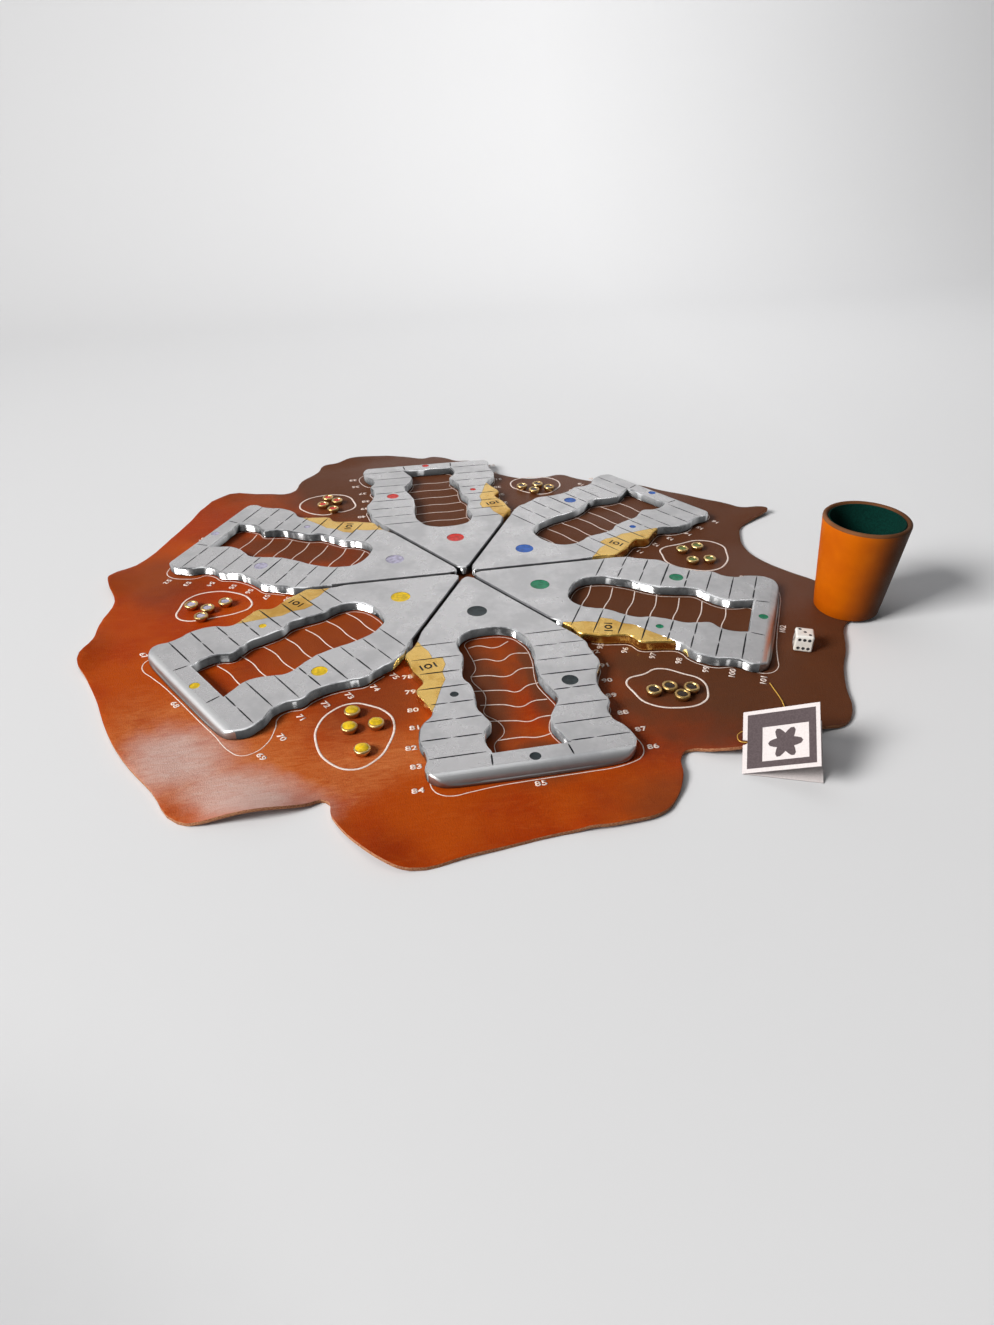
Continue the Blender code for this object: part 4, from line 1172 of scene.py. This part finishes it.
makeArms()
print("arms made")


# what is painted on the hide

paint = {
    "height": 0.00012, "ringWidth": 0.0019, "rungWidth": 0.0011, "outlineWidth": 0.0009, "hairWidth": 0.0006,
    # each player's ring, in millimetres
    "rings": {
        "black": ((134.6, -189.3), (153.8, -201.4), (164.6, -212.3), (163.8, -228.9), (155.4, -241.8),
                  (132.5, -245.2), (109.6, -234.3), (103.8, -218.9), (103.3, -200.6), (121.3, -194.3)),
        "green": ((253.1, -32.7), (230.6, -26.4), (213.5, -8.9), (213.5, 10.3), (216.4, 22.8), (240.6, 30.7),
                  (265.6, 34.4), (283.9, 18.6), (282.3, 1.9), (272.3, -20.6)),
        "blue": ((96.8, 223.8), (103, 243), (128, 248), (152, 238), (156.8, 218.8), (147.3, 203.8),
                 (131.4, 193.8), (115.6, 199.6), (101.4, 215.4)),
        "red": ((-161.9, 217.1), (-155.3, 236.3), (-136, 246), (-117.8, 245.4), (-104.4, 237.1),
                (-98.2, 218.8), (-98.2, 203.8), (-111.9, 193.8), (-121.9, 194.2), (-128.6, 189.6),
                (-141.9, 192.1), (-156.9, 205.4)),
        "white": ((-279.8, -12.9), (-271.1, -22.1), (-258.6, -23.8), (-241.9, -21.3), (-224.4, -17.5),
                  (-211.9, -8.8), (-213.2, 7.1), (-226.1, 21.7), (-250.3, 29.6), (-271.1, 21.3),
                  (-278.6, 1.3)),
        "yellow": ((-125.3, -184.8), (-141.9, -191.4), (-153.6, -208.1), (-155.9, -228.1), (-146.9, -254.8),
                   (-129.4, -266.4), (-112.8, -259.3), (-101.9, -243.9), (-94.8, -214.8), (-100.3, -200.6),
                   (-110.3, -191.4)),
    },
    # the rungs in the black arm's window, in millimetres: across, and out
    "rungs": (
        ((-19, 124), (-10, 122), (4, 128), (18, 120.5)),
        ((-19, 145), (-8, 144), (5, 149.5), (18, 141), (31, 142.5)),
        ((-25, 168), (-10, 169), (6, 173.5), (20, 165), (31, 165.5)),
        ((-26, 189), (0, 193), (9, 197), (20, 190), (30, 188)),
        ((-24, 209), (-5, 212), (8, 217.5), (20, 212), (31, 212)),
        ((-21, 231), (0, 234.5), (10, 237.5), (20, 234), (33, 233.5)),
        ((-19, 255.5), (0, 255.5), (12, 258), (27, 254.5)),
    ),
    # the other arms' rungs: across, and further out than the rung's middle
    "otherRung": ((-27, 1.6), (-10, -0.6), (8, 0.9), (30, -1.0)),
    "otherRungs": (124, 145.5, 168, 190, 211.5, 233.5, 256),
    # the left side of the thin line in the black arm's window, then the line round every arm's end, whose
    # right corner stands further off on the yellow arm
    "innerLeft": ((-24, 272), (-22.2, 259.5), (-13.2, 249.2), (-11.5, 243.3), (-13.9, 233.1), (-22.8, 219.8),
                  (-19.6, 208.7), (-17.6, 195.3), (-24.6, 170.2), (-18.7, 158.3), (-18, 148.8),
                  (-20.5, 128.2)),
    # the line stands this far in from the window's edge, towards the window's middle
    "innerStep": 1.3, "windowMiddle": 190,
    "corner": ((80, 262), (86, 275), (87, 288), (82, 297), (75, 300.5)),
    "wideCorner": ((74, 255.7), (84.4, 264.2), (96.5, 278.5), (99.5, 291.2), (95.9, 300.1), (86, 303.8)),
    "end": ((60, 303.8), (40, 304.4), (20, 304.6), (0, 304.8), (-10, 305), (-30, 305.8), (-50, 308),
            (-62, 309.3), (-71, 306), (-75.5, 299.5), (-76, 290), (-73, 278)),
    # the line outside the metal: its distance, and the half cells that it passes on each lane
    "outside": 0.0009, "rightCells": (3, 13), "wideRightCells": (3, 12), "leftCells": (12, 1, -1),
}


def drape(piece, flatten):
    # presses a piece drawn on the level plane down on the hide
    for vertex in piece.data.vertices:
        vertex.co.z = vertex.co.z * flatten + hideTop(vertex.co.x, vertex.co.y)


def paintedLine(name, points, width, closed):
    # a round stroke, pressed flat on the leather
    line = curveMesh(name, "3D", [points], closed, bevel_depth=width / 2, bevel_resolution=1, resolution_u=6,
                     use_fill_caps=not closed)
    line.data.materials.append(hidePaint)
    drape(line, 2 * paint["height"] / width)
    return line


def onArm(index, across, out):
    spot = Matrix.Rotation(index * armTurn, 3, "Z") @ Vector((across, -out, 0))
    return spot.x, spot.y


def rungPoints(index):
    # the black arm's rungs swing more than the others do
    if index == 0:
        return paint["rungs"]
    return [[(across, level + further * (0.6 + 0.8 * noise.random()))
             for across, further in paint["otherRung"]]
            for level in paint["otherRungs"]]


def innerPoints(index):
    # close inside the window's edge, but further in down the left side of the black arm's
    points = []
    for knot in windowLoop():
        x, out = knot[0] / mm, -knot[1] / mm
        step = Vector((-x, paint["windowMiddle"] - out)).normalized() * paint["innerStep"]
        points.append((x + step.x, out + step.y))
    if index == 0:
        points = points[:-len(arm["windowLeft"])] + list(paint["innerLeft"])
    return points


def outsideLine(index):
    # down the right lane just outside the metal, round the end, and up the left lane where it shows
    step = paint["outside"]
    wide = players[index] == "yellow"
    cells = range(*paint["wideRightCells" if wide else "rightCells"])
    right = [(edgeAcross(1, cell) + step, halfCell(cell)) for cell in cells]
    left = []
    if index:
        left = [(-edgeAcross(-1, cell) - step, halfCell(cell)) for cell in range(*paint["leftCells"])]
    corner = paint["wideCorner" if wide else "corner"]
    end = [(across * mm, out * mm) for across, out in (*corner, *paint["end"])]
    return [onArm(index, across, out) for across, out in (*right, *end, *left)]


def paintHide():
    for player, ring in paint["rings"].items():
        line = paintedLine("ring_" + player, [(x * mm, y * mm) for x, y in ring], paint["ringWidth"], True)
        onBody(line, "mat", "hide_leather")
    for index, player in enumerate(players):
        lines = []
        for rung in rungPoints(index):
            knots = [onArm(index, across * mm, out * mm) for across, out in rung]
            lines.append(paintedLine("rung", knots, paint["rungWidth"], False))
        inner = [onArm(index, across * mm, out * mm) for across, out in innerPoints(index)]
        lines.append(paintedLine("inner", inner, paint["hairWidth"], True))
        lines.append(paintedLine("outside", outsideLine(index), paint["outlineWidth"], False))
        onBody(joined(lines, "laneLines_" + player), "mat", "hide_leather")


paintHide()
print("hide painted")


# the cells' numbers: plain counting, from one at the outer end of the green arm's right lane, round by the
# blue, red, white, yellow and black arms, to the last one at the green arm's own end
labels = {
    "size": 0.0085, "stretch": (1.12, 0.86), "bold": 0.00022,
    # across and out in millimetres, on the left lane outwards, the end, and the right lane inwards
    "left": ((-77, 157), (-77, 179), (-78, 204), (-79, 227), (-85, 251), (-84, 273), (-86, 299)),
    "end": (2, 309.5),
    "right": ((95, 287), (93, 265), (86, 242), (84, 218), (87, 197), (92, 175), (89, 153)),
    # the yellow arm's first two stand outside its wider line
    "wideRight": ((107.4, 289), (97.3, 266)),
    # each arm counts for 17 cells, of which 15 show their number
    "beforeBlack": 77, "cellsPerArm": 17, "cells": 102,
}


def makeNumber(number, index, across, out):
    deselectAll()
    bpy.ops.object.text_add()
    words = bpy.context.object
    words.data.body = str(number)
    words.data.size = labels["size"]
    words.data.align_x = words.data.align_y = "CENTER"
    words.data.offset = labels["bold"]
    words.data.resolution_u = 3
    bpy.ops.object.convert(target="MESH")
    piece = named("number", hidePaint)
    x, y = onArm(index, across * mm, out * mm)
    turn = Matrix.Rotation(index * armTurn, 4, "Z")
    stretched = Matrix.Diagonal((*labels["stretch"], 1, 1))
    piece.data.transform(Matrix.Translation((x, y, 0)) @ turn @ stretched)
    for vertex in piece.data.vertices:
        vertex.co.z = hideTop(vertex.co.x, vertex.co.y) + paint["height"]
    return piece


def numberCells():
    for index, player in enumerate(players):
        before = labels["beforeBlack"] + index * labels["cellsPerArm"]
        wide = labels["wideRight"] if player == "yellow" else labels["right"][:2]
        places = (*labels["left"], labels["end"], *wide, *labels["right"][2:])
        numbers = []
        for count, (across, out) in enumerate(places):
            number = (before + count) % labels["cells"] + 1
            numbers.append(makeNumber(number, index, across, out))
        piece = joined(numbers, "cellNumbers_" + player)
        addAndApply(piece, "SOLIDIFY", thickness=paint["height"], offset=-1.0)
        onBody(piece, "mat", "hide_leather")


numberCells()
print("numbers painted")


# the tokens

token = {
    "radius": 0.0066, "height": 0.0052, "sides": 48, "rim": 0.86, "foot": 0.84, "waist": 0.90, "bowl": 0.0042,
    "bowlDepth": 0.0016, "turn": 1.9, "lump": 0.00012, "lumpScale": 420,
}


def makeToken():
    r = token["radius"]
    h = token["height"]
    bowl = token["bowl"]
    depth = token["bowlDepth"]
    profile = (
        (r * 0.10, 0.00002), (r * token["foot"] - 0.0004, 0), (r * token["foot"], 0.0003),
        (r * token["waist"], h * 0.30), (r * 0.99, h * 0.58), (r, h * 0.72), (r * 0.97, h * 0.90),
        (r * token["rim"], h), (bowl + 0.0006, h), (bowl + 0.0002, h - 0.0002), (bowl, h - depth * 0.6),
        (bowl * 0.8, h - depth), (bowl * 0.1, h - depth - 0.0001),
    )
    piece = turnedRing("tokenMaster", profile, token["sides"], tokenBrass)
    closeEnds(piece)
    for vertex in piece.data.vertices:
        push = noise.noise_vector(vertex.co * token["lumpScale"] + Vector((3, 1, 7))) * token["lump"]
        vertex.co.x += push.x
        vertex.co.y += push.y
    tidyMesh(piece, 50)
    return piece


def makeTokenFill(player):
    # enamel in the bowl: a full bead in the yellow tokens, a thin pool in the others
    h = token["height"]
    bowl = token["bowl"] - 0.00004
    level = h - token["bowlDepth"] * 0.55
    profile = ((bowl * 0.78, level - 0.0006), (bowl * 0.985, level), (bowl * 0.85, level + 0.0001),
               (bowl * 0.55, level + 0.0002), (bowl * 0.08, level + 0.0002))
    if player == "yellow":
        profile = ((bowl * 0.7, h - 0.0013), (bowl, h - 0.0004), (bowl + 0.0009, h + 0.00004),
                   (bowl + 0.0010, h + 0.0003), (bowl * 0.95, h + 0.0008), (bowl * 0.55, h + 0.0012),
                   (bowl * 0.08, h + 0.0013))
    enamel = tokenEnamels.get(player, enamels[player])
    piece = turnedRing("fillMaster_" + player, profile, token["sides"], enamel)
    closeEnds(piece)
    tidyMesh(piece, 60)
    return piece


def makeTokens():
    master = makeToken()
    for player in players:
        fillMaster = makeTokenFill(player)
        for number in range(1, 5):
            node = f"token_{player}_{number}"
            place = Matrix.Translation(footOf(node)) @ Matrix.Rotation(token["turn"] * number, 4, "Z")
            onBody(copyOf(master, f"counter_{player}_{number}", place), node, "token_brass", node)
            onBody(copyOf(fillMaster, f"counterEnamel_{player}_{number}", place), node, "enamel_" + player)
        remove(fillMaster)
    remove(master)


makeTokens()
print("tokens made")


# the die

die = {
    "side": 0.016, "round": 0.0019, "turn": -25.3, "pipRadius": 0.00150, "pipDepth": 0.0007,
    "spacing": 0.0042,
}


def pipPlaces(count):
    corners = [(-1, 1), (1, -1), (-1, -1), (1, 1)]
    places = corners[:count - count % 2]
    if count == 6:
        places = corners + [(-1, 0), (1, 0)]
    if count % 2:
        places = places + [(0, 0)]
    return places


def makeDie():
    piece = added(bpy.ops.mesh.primitive_cube_add, "gamingDie", dieResin, size=die["side"])
    editAll(piece)
    bpy.ops.mesh.bevel(offset=die["round"], segments=5, profile=0.5, affect="EDGES")
    backToObject()
    half = math.pi / 2
    turns = {
        3: Matrix.Identity(4), 4: Matrix.Rotation(math.pi, 4, "X"),
        6: Matrix.Rotation(half, 4, "X"), 1: Matrix.Rotation(-half, 4, "X"),
        2: Matrix.Rotation(half, 4, "Y"), 5: Matrix.Rotation(-half, 4, "Y"),
    }
    # each pip is the cap of a ball sunk into its face
    ball = (die["pipRadius"] ** 2 + die["pipDepth"] ** 2) / (2 * die["pipDepth"])
    balls = []
    for count, turn in turns.items():
        for x, y in pipPlaces(count):
            across, up = (y, x) if count == 6 else (x, y)
            spot = Vector((across * die["spacing"], up * die["spacing"],
                           die["side"] / 2 - die["pipDepth"] + ball))
            bead = added(bpy.ops.mesh.primitive_uv_sphere_add, "pip", pipPaint, segments=24, ring_count=12,
                         radius=ball)
            bead.data.transform(turn @ Matrix.Translation(spot))
            balls.append(bead)
    drill = joined(balls, "pipDrill")
    cutWith(piece, drill)
    remove(drill)
    smoothShade(piece, 40)
    levelNormals(piece)
    low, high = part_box("die")
    middle = (low + high) / 2
    piece.data.transform(Matrix.Translation(middle) @ Matrix.Rotation(math.radians(die["turn"]), 4, "Z"))
    onBody(piece, "die", "die_white", "die")


makeDie()
print("die made")


# the dice cup

cup = {
    "height": 0.092, "base": 0.0292, "top": 0.0385, "wall": 0.0046, "floor": 0.0040, "lining": 0.0012,
    "liningDrop": 0.0015, "gap": 0.0003, "sides": 96,
    # the darker leather: how far down from the rim, and how far in from the outside it starts
    "rimBand": 0.0022, "rimIn": 0.0012,
}


def cupRadius(height):
    return cup["base"] + (cup["top"] - cup["base"]) * height / cup["height"]


def addCupPart(name, profile, material, slot, node):
    piece = turnedRing(name, profile, cup["sides"], material)
    closeEnds(piece)
    tidyMesh(piece, 40)
    piece.data.transform(Matrix.Translation(footOf("cup_wall")))
    onBody(piece, "cup", slot, node)


def makeCup():
    h = cup["height"]
    wall = cup["wall"]
    # the outer leather, from inside the foot, up the outside, over the rim and down inside
    profile = (
        (cupRadius(0) - wall, 0.0004), (cupRadius(0) - wall + 0.0006, 0), (cupRadius(0) - 0.0010, 0),
        (cupRadius(0), 0.0011), (cupRadius(0.012) + 0.0001, 0.012), (cupRadius(0.045) + 0.0002, 0.045),
        (cupRadius(0.080), 0.080), (cupRadius(h) - 0.0002, h - 0.0026),
        (cupRadius(h) - 0.0004, h - 0.0013), (cupRadius(h) - 0.0012, h - 0.0004), (cupRadius(h) - 0.0023, h),
        (cupRadius(h) - wall + 0.0014, h - 0.0002), (cupRadius(h) - wall + 0.0003, h - 0.0011),
        (cupRadius(h - 0.003) - wall, h - 0.003), (cupRadius(0.030) - wall, 0.030),
    )
    shell = turnedRing("cupShell", profile, cup["sides"], cupLeather)
    shell.data.materials.append(cupRimLeather)
    editAll(shell)
    # the two open rings are joined, so that the wall is closed
    selectOpenRings()
    bpy.ops.mesh.bridge_edge_loops()
    backToObject()
    tidyMesh(shell, 40)
    for face in shell.data.polygons:
        near = math.hypot(face.center.x, face.center.y)
        inside = near < cupRadius(face.center.z) - cup["rimIn"]
        face.material_index = 1 if face.center.z > h - cup["rimBand"] or inside else 0
    shell.data.transform(Matrix.Translation(footOf("cup_wall")))
    onBody(shell, "cup", "cup_leather", "cup_wall")

    seat = cup["floor"] + cup["gap"]
    lip = h - cup["liningDrop"]
    outside = wall + cup["gap"]
    inside = outside + cup["lining"]
    profile = (
        (0.002, seat), (cupRadius(seat) - outside - 0.001, seat), (cupRadius(seat) - outside, seat + 0.001),
        (cupRadius(lip) - outside, lip - 0.0003), (cupRadius(lip) - outside - 0.0004, lip),
        (cupRadius(lip) - inside + 0.0003, lip), (cupRadius(lip) - inside, lip - 0.0004),
        (cupRadius(seat + 0.004) - inside, seat + 0.004),
        (cupRadius(seat) - inside - 0.0014, seat + cup["lining"]), (0.002, seat + cup["lining"]),
    )
    addCupPart("cupLiner", profile, cupFelt, "green_lining", "cup_lining")

    disc = cupRadius(0) - wall - cup["gap"]
    profile = ((0.002, 0), (disc - 0.0008, 0), (disc, 0.0008), (disc, cup["floor"] - 0.0005),
               (disc - 0.0005, cup["floor"]), (0.002, cup["floor"]))
    addCupPart("cupSole", profile, cupRimLeather, "cup_leather", "cup_floor")


makeCup()
print("cup made")


# the hang tag: one card, folded along its left side and standing open

tag = {
    "fold": 0.050, "width": 0.057, "card": 0.0005, "place": (0.1490, -0.3277, 0.0007),
    "turn": 21.7, "tilt": 26.8, "opening": 30.8, "holeRadius": 0.0022, "punchLength": 0.0068,
    # the print on the front panel: margins and band widths from the fold, near, free and far edges
    "margin": 0.0032, "bandFold": 0.0115, "bandFar": 0.0115, "bandNear": 0.0048, "bandFree": 0.0052,
    "ink": 0.00004, "printLift": 0.00014,
    # the rosette's waist, how far its points stand out from that, and how pointed they are
    "rosette": (0.0072, 0.0056, 1.6),
}


def tagMatrix():
    turn = Matrix.Rotation(-math.radians(tag["turn"]), 4, "Z")
    tilt = Matrix.Rotation(math.radians(tag["tilt"]), 4, "X")
    return Matrix.Translation(tag["place"]) @ turn @ tilt


def makeTag():
    opening = math.radians(tag["opening"])
    foldRound = 2 * tag["card"]
    width = tag["width"]
    # the near edge of the card, from the lower panel's free end round the fold to the upper one's
    near = [(width, 0), (width * 0.5, 0.0002), (foldRound, 0), (foldRound * 0.3, foldRound * 0.12),
            (0, foldRound * math.sin(opening / 2)),
            (foldRound * 0.35 * math.cos(opening), foldRound * 0.75 * math.sin(opening) + tag["card"] * 0.8),
            (foldRound * math.cos(opening), foldRound * math.sin(opening) + tag["card"]),
            (width * 0.5 * math.cos(opening), width * 0.5 * math.sin(opening) + tag["card"]),
            (width * math.cos(opening), width * math.sin(opening) + tag["card"])]
    piece = added(bpy.ops.mesh.primitive_plane_add, "tagCard", tagPaper, size=0.001)
    editAll(piece)
    bpy.ops.mesh.merge(type="CENTER")
    bpy.ops.transform.translate(value=(near[0][0], 0, near[0][1]))
    for (x1, z1), (x2, z2) in zip(near, near[1:]):
        bpy.ops.mesh.extrude_vertices_move(TRANSFORM_OT_translate={"value": (x2 - x1, 0, z2 - z1)})
    bpy.ops.mesh.select_all(action="SELECT")
    bpy.ops.mesh.extrude_edges_move(TRANSFORM_OT_translate={"value": (0, tag["fold"], 0)})
    backToObject()
    editAll(piece)
    cutLines(((0, share * tag["fold"], 0), (0, 1, 0)) for share in (0.25, 0.5, 0.75))
    backToObject()
    addAndApply(piece, "SOLIDIFY", thickness=tag["card"], offset=0.0)
    punch = added(bpy.ops.mesh.primitive_cylinder_add, "tagPunch", tagPaper, vertices=24,
                  radius=tag["holeRadius"], depth=tag["punchLength"])
    punch.data.transform(Matrix.Translation((0, tag["fold"] / 2, tag["card"]))
                         @ Matrix.Rotation(math.pi / 2, 4, "Y"))
    cutWith(piece, punch)
    remove(punch)
    smoothShade(piece, 40)
    piece.data.transform(tagMatrix())
    onBody(piece, "mat", "tag_card", "hang_tag")
    prints = makeTagPrint(opening)
    onBody(prints, "mat", "tag_card")


def makeTagPrint(opening):
    # a plain dark frame round a light field with a six-pointed rosette, laid on the upper panel
    width = tag["width"]
    low = tag["margin"]
    highX = width - tag["margin"]
    highY = tag["fold"] - tag["margin"]
    field = (low + tag["bandFold"], low + tag["bandNear"], highX - tag["bandFree"], highY - tag["bandFar"])
    inked = added(bpy.ops.mesh.primitive_plane_add, "tagFrame", tagInk, size=1)
    editAll(inked)
    bpy.ops.transform.resize(value=(highX - low, highY - low, 1))
    bpy.ops.transform.translate(value=((low + highX) / 2, (low + highY) / 2, 0))
    cutLines((((field[0], 0, 0), (1, 0, 0)), ((field[2], 0, 0), (1, 0, 0)),
           ((0, field[1], 0), (0, 1, 0)), ((0, field[3], 0), (0, 1, 0))))
    backToObject()
    selectFaces(inked, lambda face: field[0] < face.center.x < field[2]
                and field[1] < face.center.y < field[3])
    bpy.ops.mesh.delete(type="FACE")
    backToObject()
    # the rosette: a disc whose rim is drawn in between its six points
    middle = ((field[0] + field[2]) / 2, (field[1] + field[3]) / 2)
    rosette = added(bpy.ops.mesh.primitive_circle_add, "tagRosette", tagInk, vertices=36, radius=1,
                    fill_type="TRIFAN")
    waist, out, sharpness = tag["rosette"]
    for vertex in rosette.data.vertices:
        angle = math.atan2(vertex.co.y, vertex.co.x)
        size = waist + out * abs(math.cos(3 * angle)) ** sharpness
        if vertex.co.length > 0.5:
            vertex.co = Vector((math.cos(angle) * size + middle[0], math.sin(angle) * size + middle[1], 0))
        else:
            vertex.co = Vector((middle[0], middle[1], 0))
    prints = joined([inked, rosette], "tagPrint")
    addAndApply(prints, "SOLIDIFY", thickness=tag["ink"], offset=0.0)
    lift = tag["card"] * 1.5 + tag["printLift"]
    panel = Matrix.Translation((0, 0, lift)) @ Matrix.Rotation(-opening, 4, "Y")
    prints.data.transform(tagMatrix() @ panel)
    return prints


makeTag()
print("tag made")


# floor, backdrop and lights

studio = {
    "floorHalf": 2.6, "coveStart": 1.15, "coveRadius": 0.9, "coveSteps": 16, "wallHeight": 2.6,
    # the paper's tone far out on the window's side, and from the board to the right
    "leftTone": (0.45, 0.453, 0.46), "leftAt": -1.6, "floorTone": (0.88, 0.885, 0.895), "floorAt": 0.55,
    "bounceTone": (0.34, 0.34, 0.35),
    # one soft painted shade on the paper in front
    "corner": ((-0.42, -0.68, 0.28, 0.27),), "cornerTone": (0.54, 0.545, 0.555),
}


def makeBackdrop():
    # a sheet of pale paper: level floor, then a wide curve up into a wall behind the board
    material, tree, surface, place = newMaterial("studioPaper", studio["floorTone"], Roughness=0.85)
    # greyer towards the window, where the most light falls
    apart = addNode(tree, "SeparateXYZ", {"Vector": place})
    across = ranged(tree, apart.outputs["X"], studio["leftAt"], studio["floorAt"])
    toned = mixed(tree, across, studio["leftTone"], studio["floorTone"])
    shaded = mixed(tree, spotsMask(tree, place, studio["corner"], 0.1), toned, studio["cornerTone"])
    # the paper shows its own tone to the camera and in gloss, and throws back less light than that
    rays = addNode(tree, "LightPath").outputs
    seen = maths(tree, "MAXIMUM", rays["Is Camera Ray"], rays["Is Glossy Ray"])
    seen = maths(tree, "MAXIMUM", seen, rays["Is Transmission Ray"])
    feed(tree, mixed(tree, seen, studio["bounceTone"], shaded), surface.inputs["Base Color"])
    floor = added(bpy.ops.mesh.primitive_plane_add, "studioFloor", material, size=2 * studio["floorHalf"])
    editAll(floor)
    bpy.ops.transform.translate(value=(0, studio["coveStart"] - studio["floorHalf"], 0))
    backToObject()
    far = studio["coveStart"]
    selectEdges(floor, lambda a, b: a.y > far - 0.001 and b.y > far - 0.001)
    radius = studio["coveRadius"]
    steps = studio["coveSteps"]
    for step in range(1, steps + 1):
        before = math.pi / 2 * (step - 1) / steps
        after = math.pi / 2 * step / steps
        move = (0, radius * (math.sin(after) - math.sin(before)),
                radius * (math.cos(before) - math.cos(after)))
        bpy.ops.mesh.extrude_edges_move(TRANSFORM_OT_translate={"value": move})
    bpy.ops.mesh.extrude_edges_move(TRANSFORM_OT_translate={"value": (0, 0, studio["wallHeight"])})
    backToObject()
    smoothShade(floor, 40)


lamps = {
    # name: place, what it points at, width, height, power, colour
    "window": ((-3.90, -1.25, 2.70), (0, 0, 0), 1.7, 1.7, 300, (1.0, 0.985, 0.97)),
    "card": ((-2.3, -0.95, 0.75), (0, 0, 0), 2.2, 1.2, 4, (1.0, 1.0, 1.0)),
    "sky": ((-0.5, 0.5, 2.7), (0, 0, 0), 2.0, 2.0, 10, (0.98, 0.99, 1.0)),
    "backdrop": ((0.70, 0.80, 1.50), (0.95, 2.0, 0.45), 1.2, 0.6, 8, (1.0, 1.0, 1.0)),
    "front": ((-0.9, -2.0, 1.3), (0, 0, 0), 0.7, 0.7, 2, (1.0, 1.0, 1.0)),
}


def addLamps():
    for name, (place, target, width, height, power, tone) in lamps.items():
        deselectAll()
        bpy.ops.object.light_add(type="AREA", location=place)
        lamp = bpy.context.object
        lamp.name = "lamp_" + name
        lamp.data.shape = "RECTANGLE"
        lamp.data.size = width
        lamp.data.size_y = height
        lamp.data.energy = power
        lamp.data.color = tone
        away = Vector(target) - Vector(place)
        lamp.rotation_euler = away.to_track_quat("-Z", "Y").to_euler()


# how bright the air is to the eye, in gloss from the front and from the back (which turn into each other
# between two levels), and as light
air = {
    "tone": (0.97, 0.98, 1.0), "seen": 0.88, "front": 0.17, "back": 0.75, "turns": (-0.3, 0.5), "light": 0.05,
}


def makeWorld():
    world = bpy.data.worlds.new("studioAir")
    bpy.context.scene.world = world
    world.use_nodes = True
    tree = world.node_tree
    background = tree.nodes["Background"]
    feed(tree, air["tone"], background.inputs["Color"])
    rays = addNode(tree, "LightPath").outputs
    direction = addNode(tree, "SeparateXYZ", {"Vector": addNode(tree, "TexCoord").outputs["Generated"]})
    gloss = ranged(tree, direction.outputs["Y"], *air["turns"], air["front"], air["back"], soft=True)
    mirrored = maths(tree, "MAXIMUM", rays["Is Glossy Ray"], rays["Is Transmission Ray"])
    lit = mixed(tree, mirrored, air["light"], gloss, "FLOAT")
    feed(tree, mixed(tree, rays["Is Camera Ray"], lit, air["seen"], "FLOAT"), background.inputs["Strength"])
    bpy.context.scene.view_settings.view_transform = "Standard"


makeBackdrop()
addLamps()
makeWorld()
print("studio made")
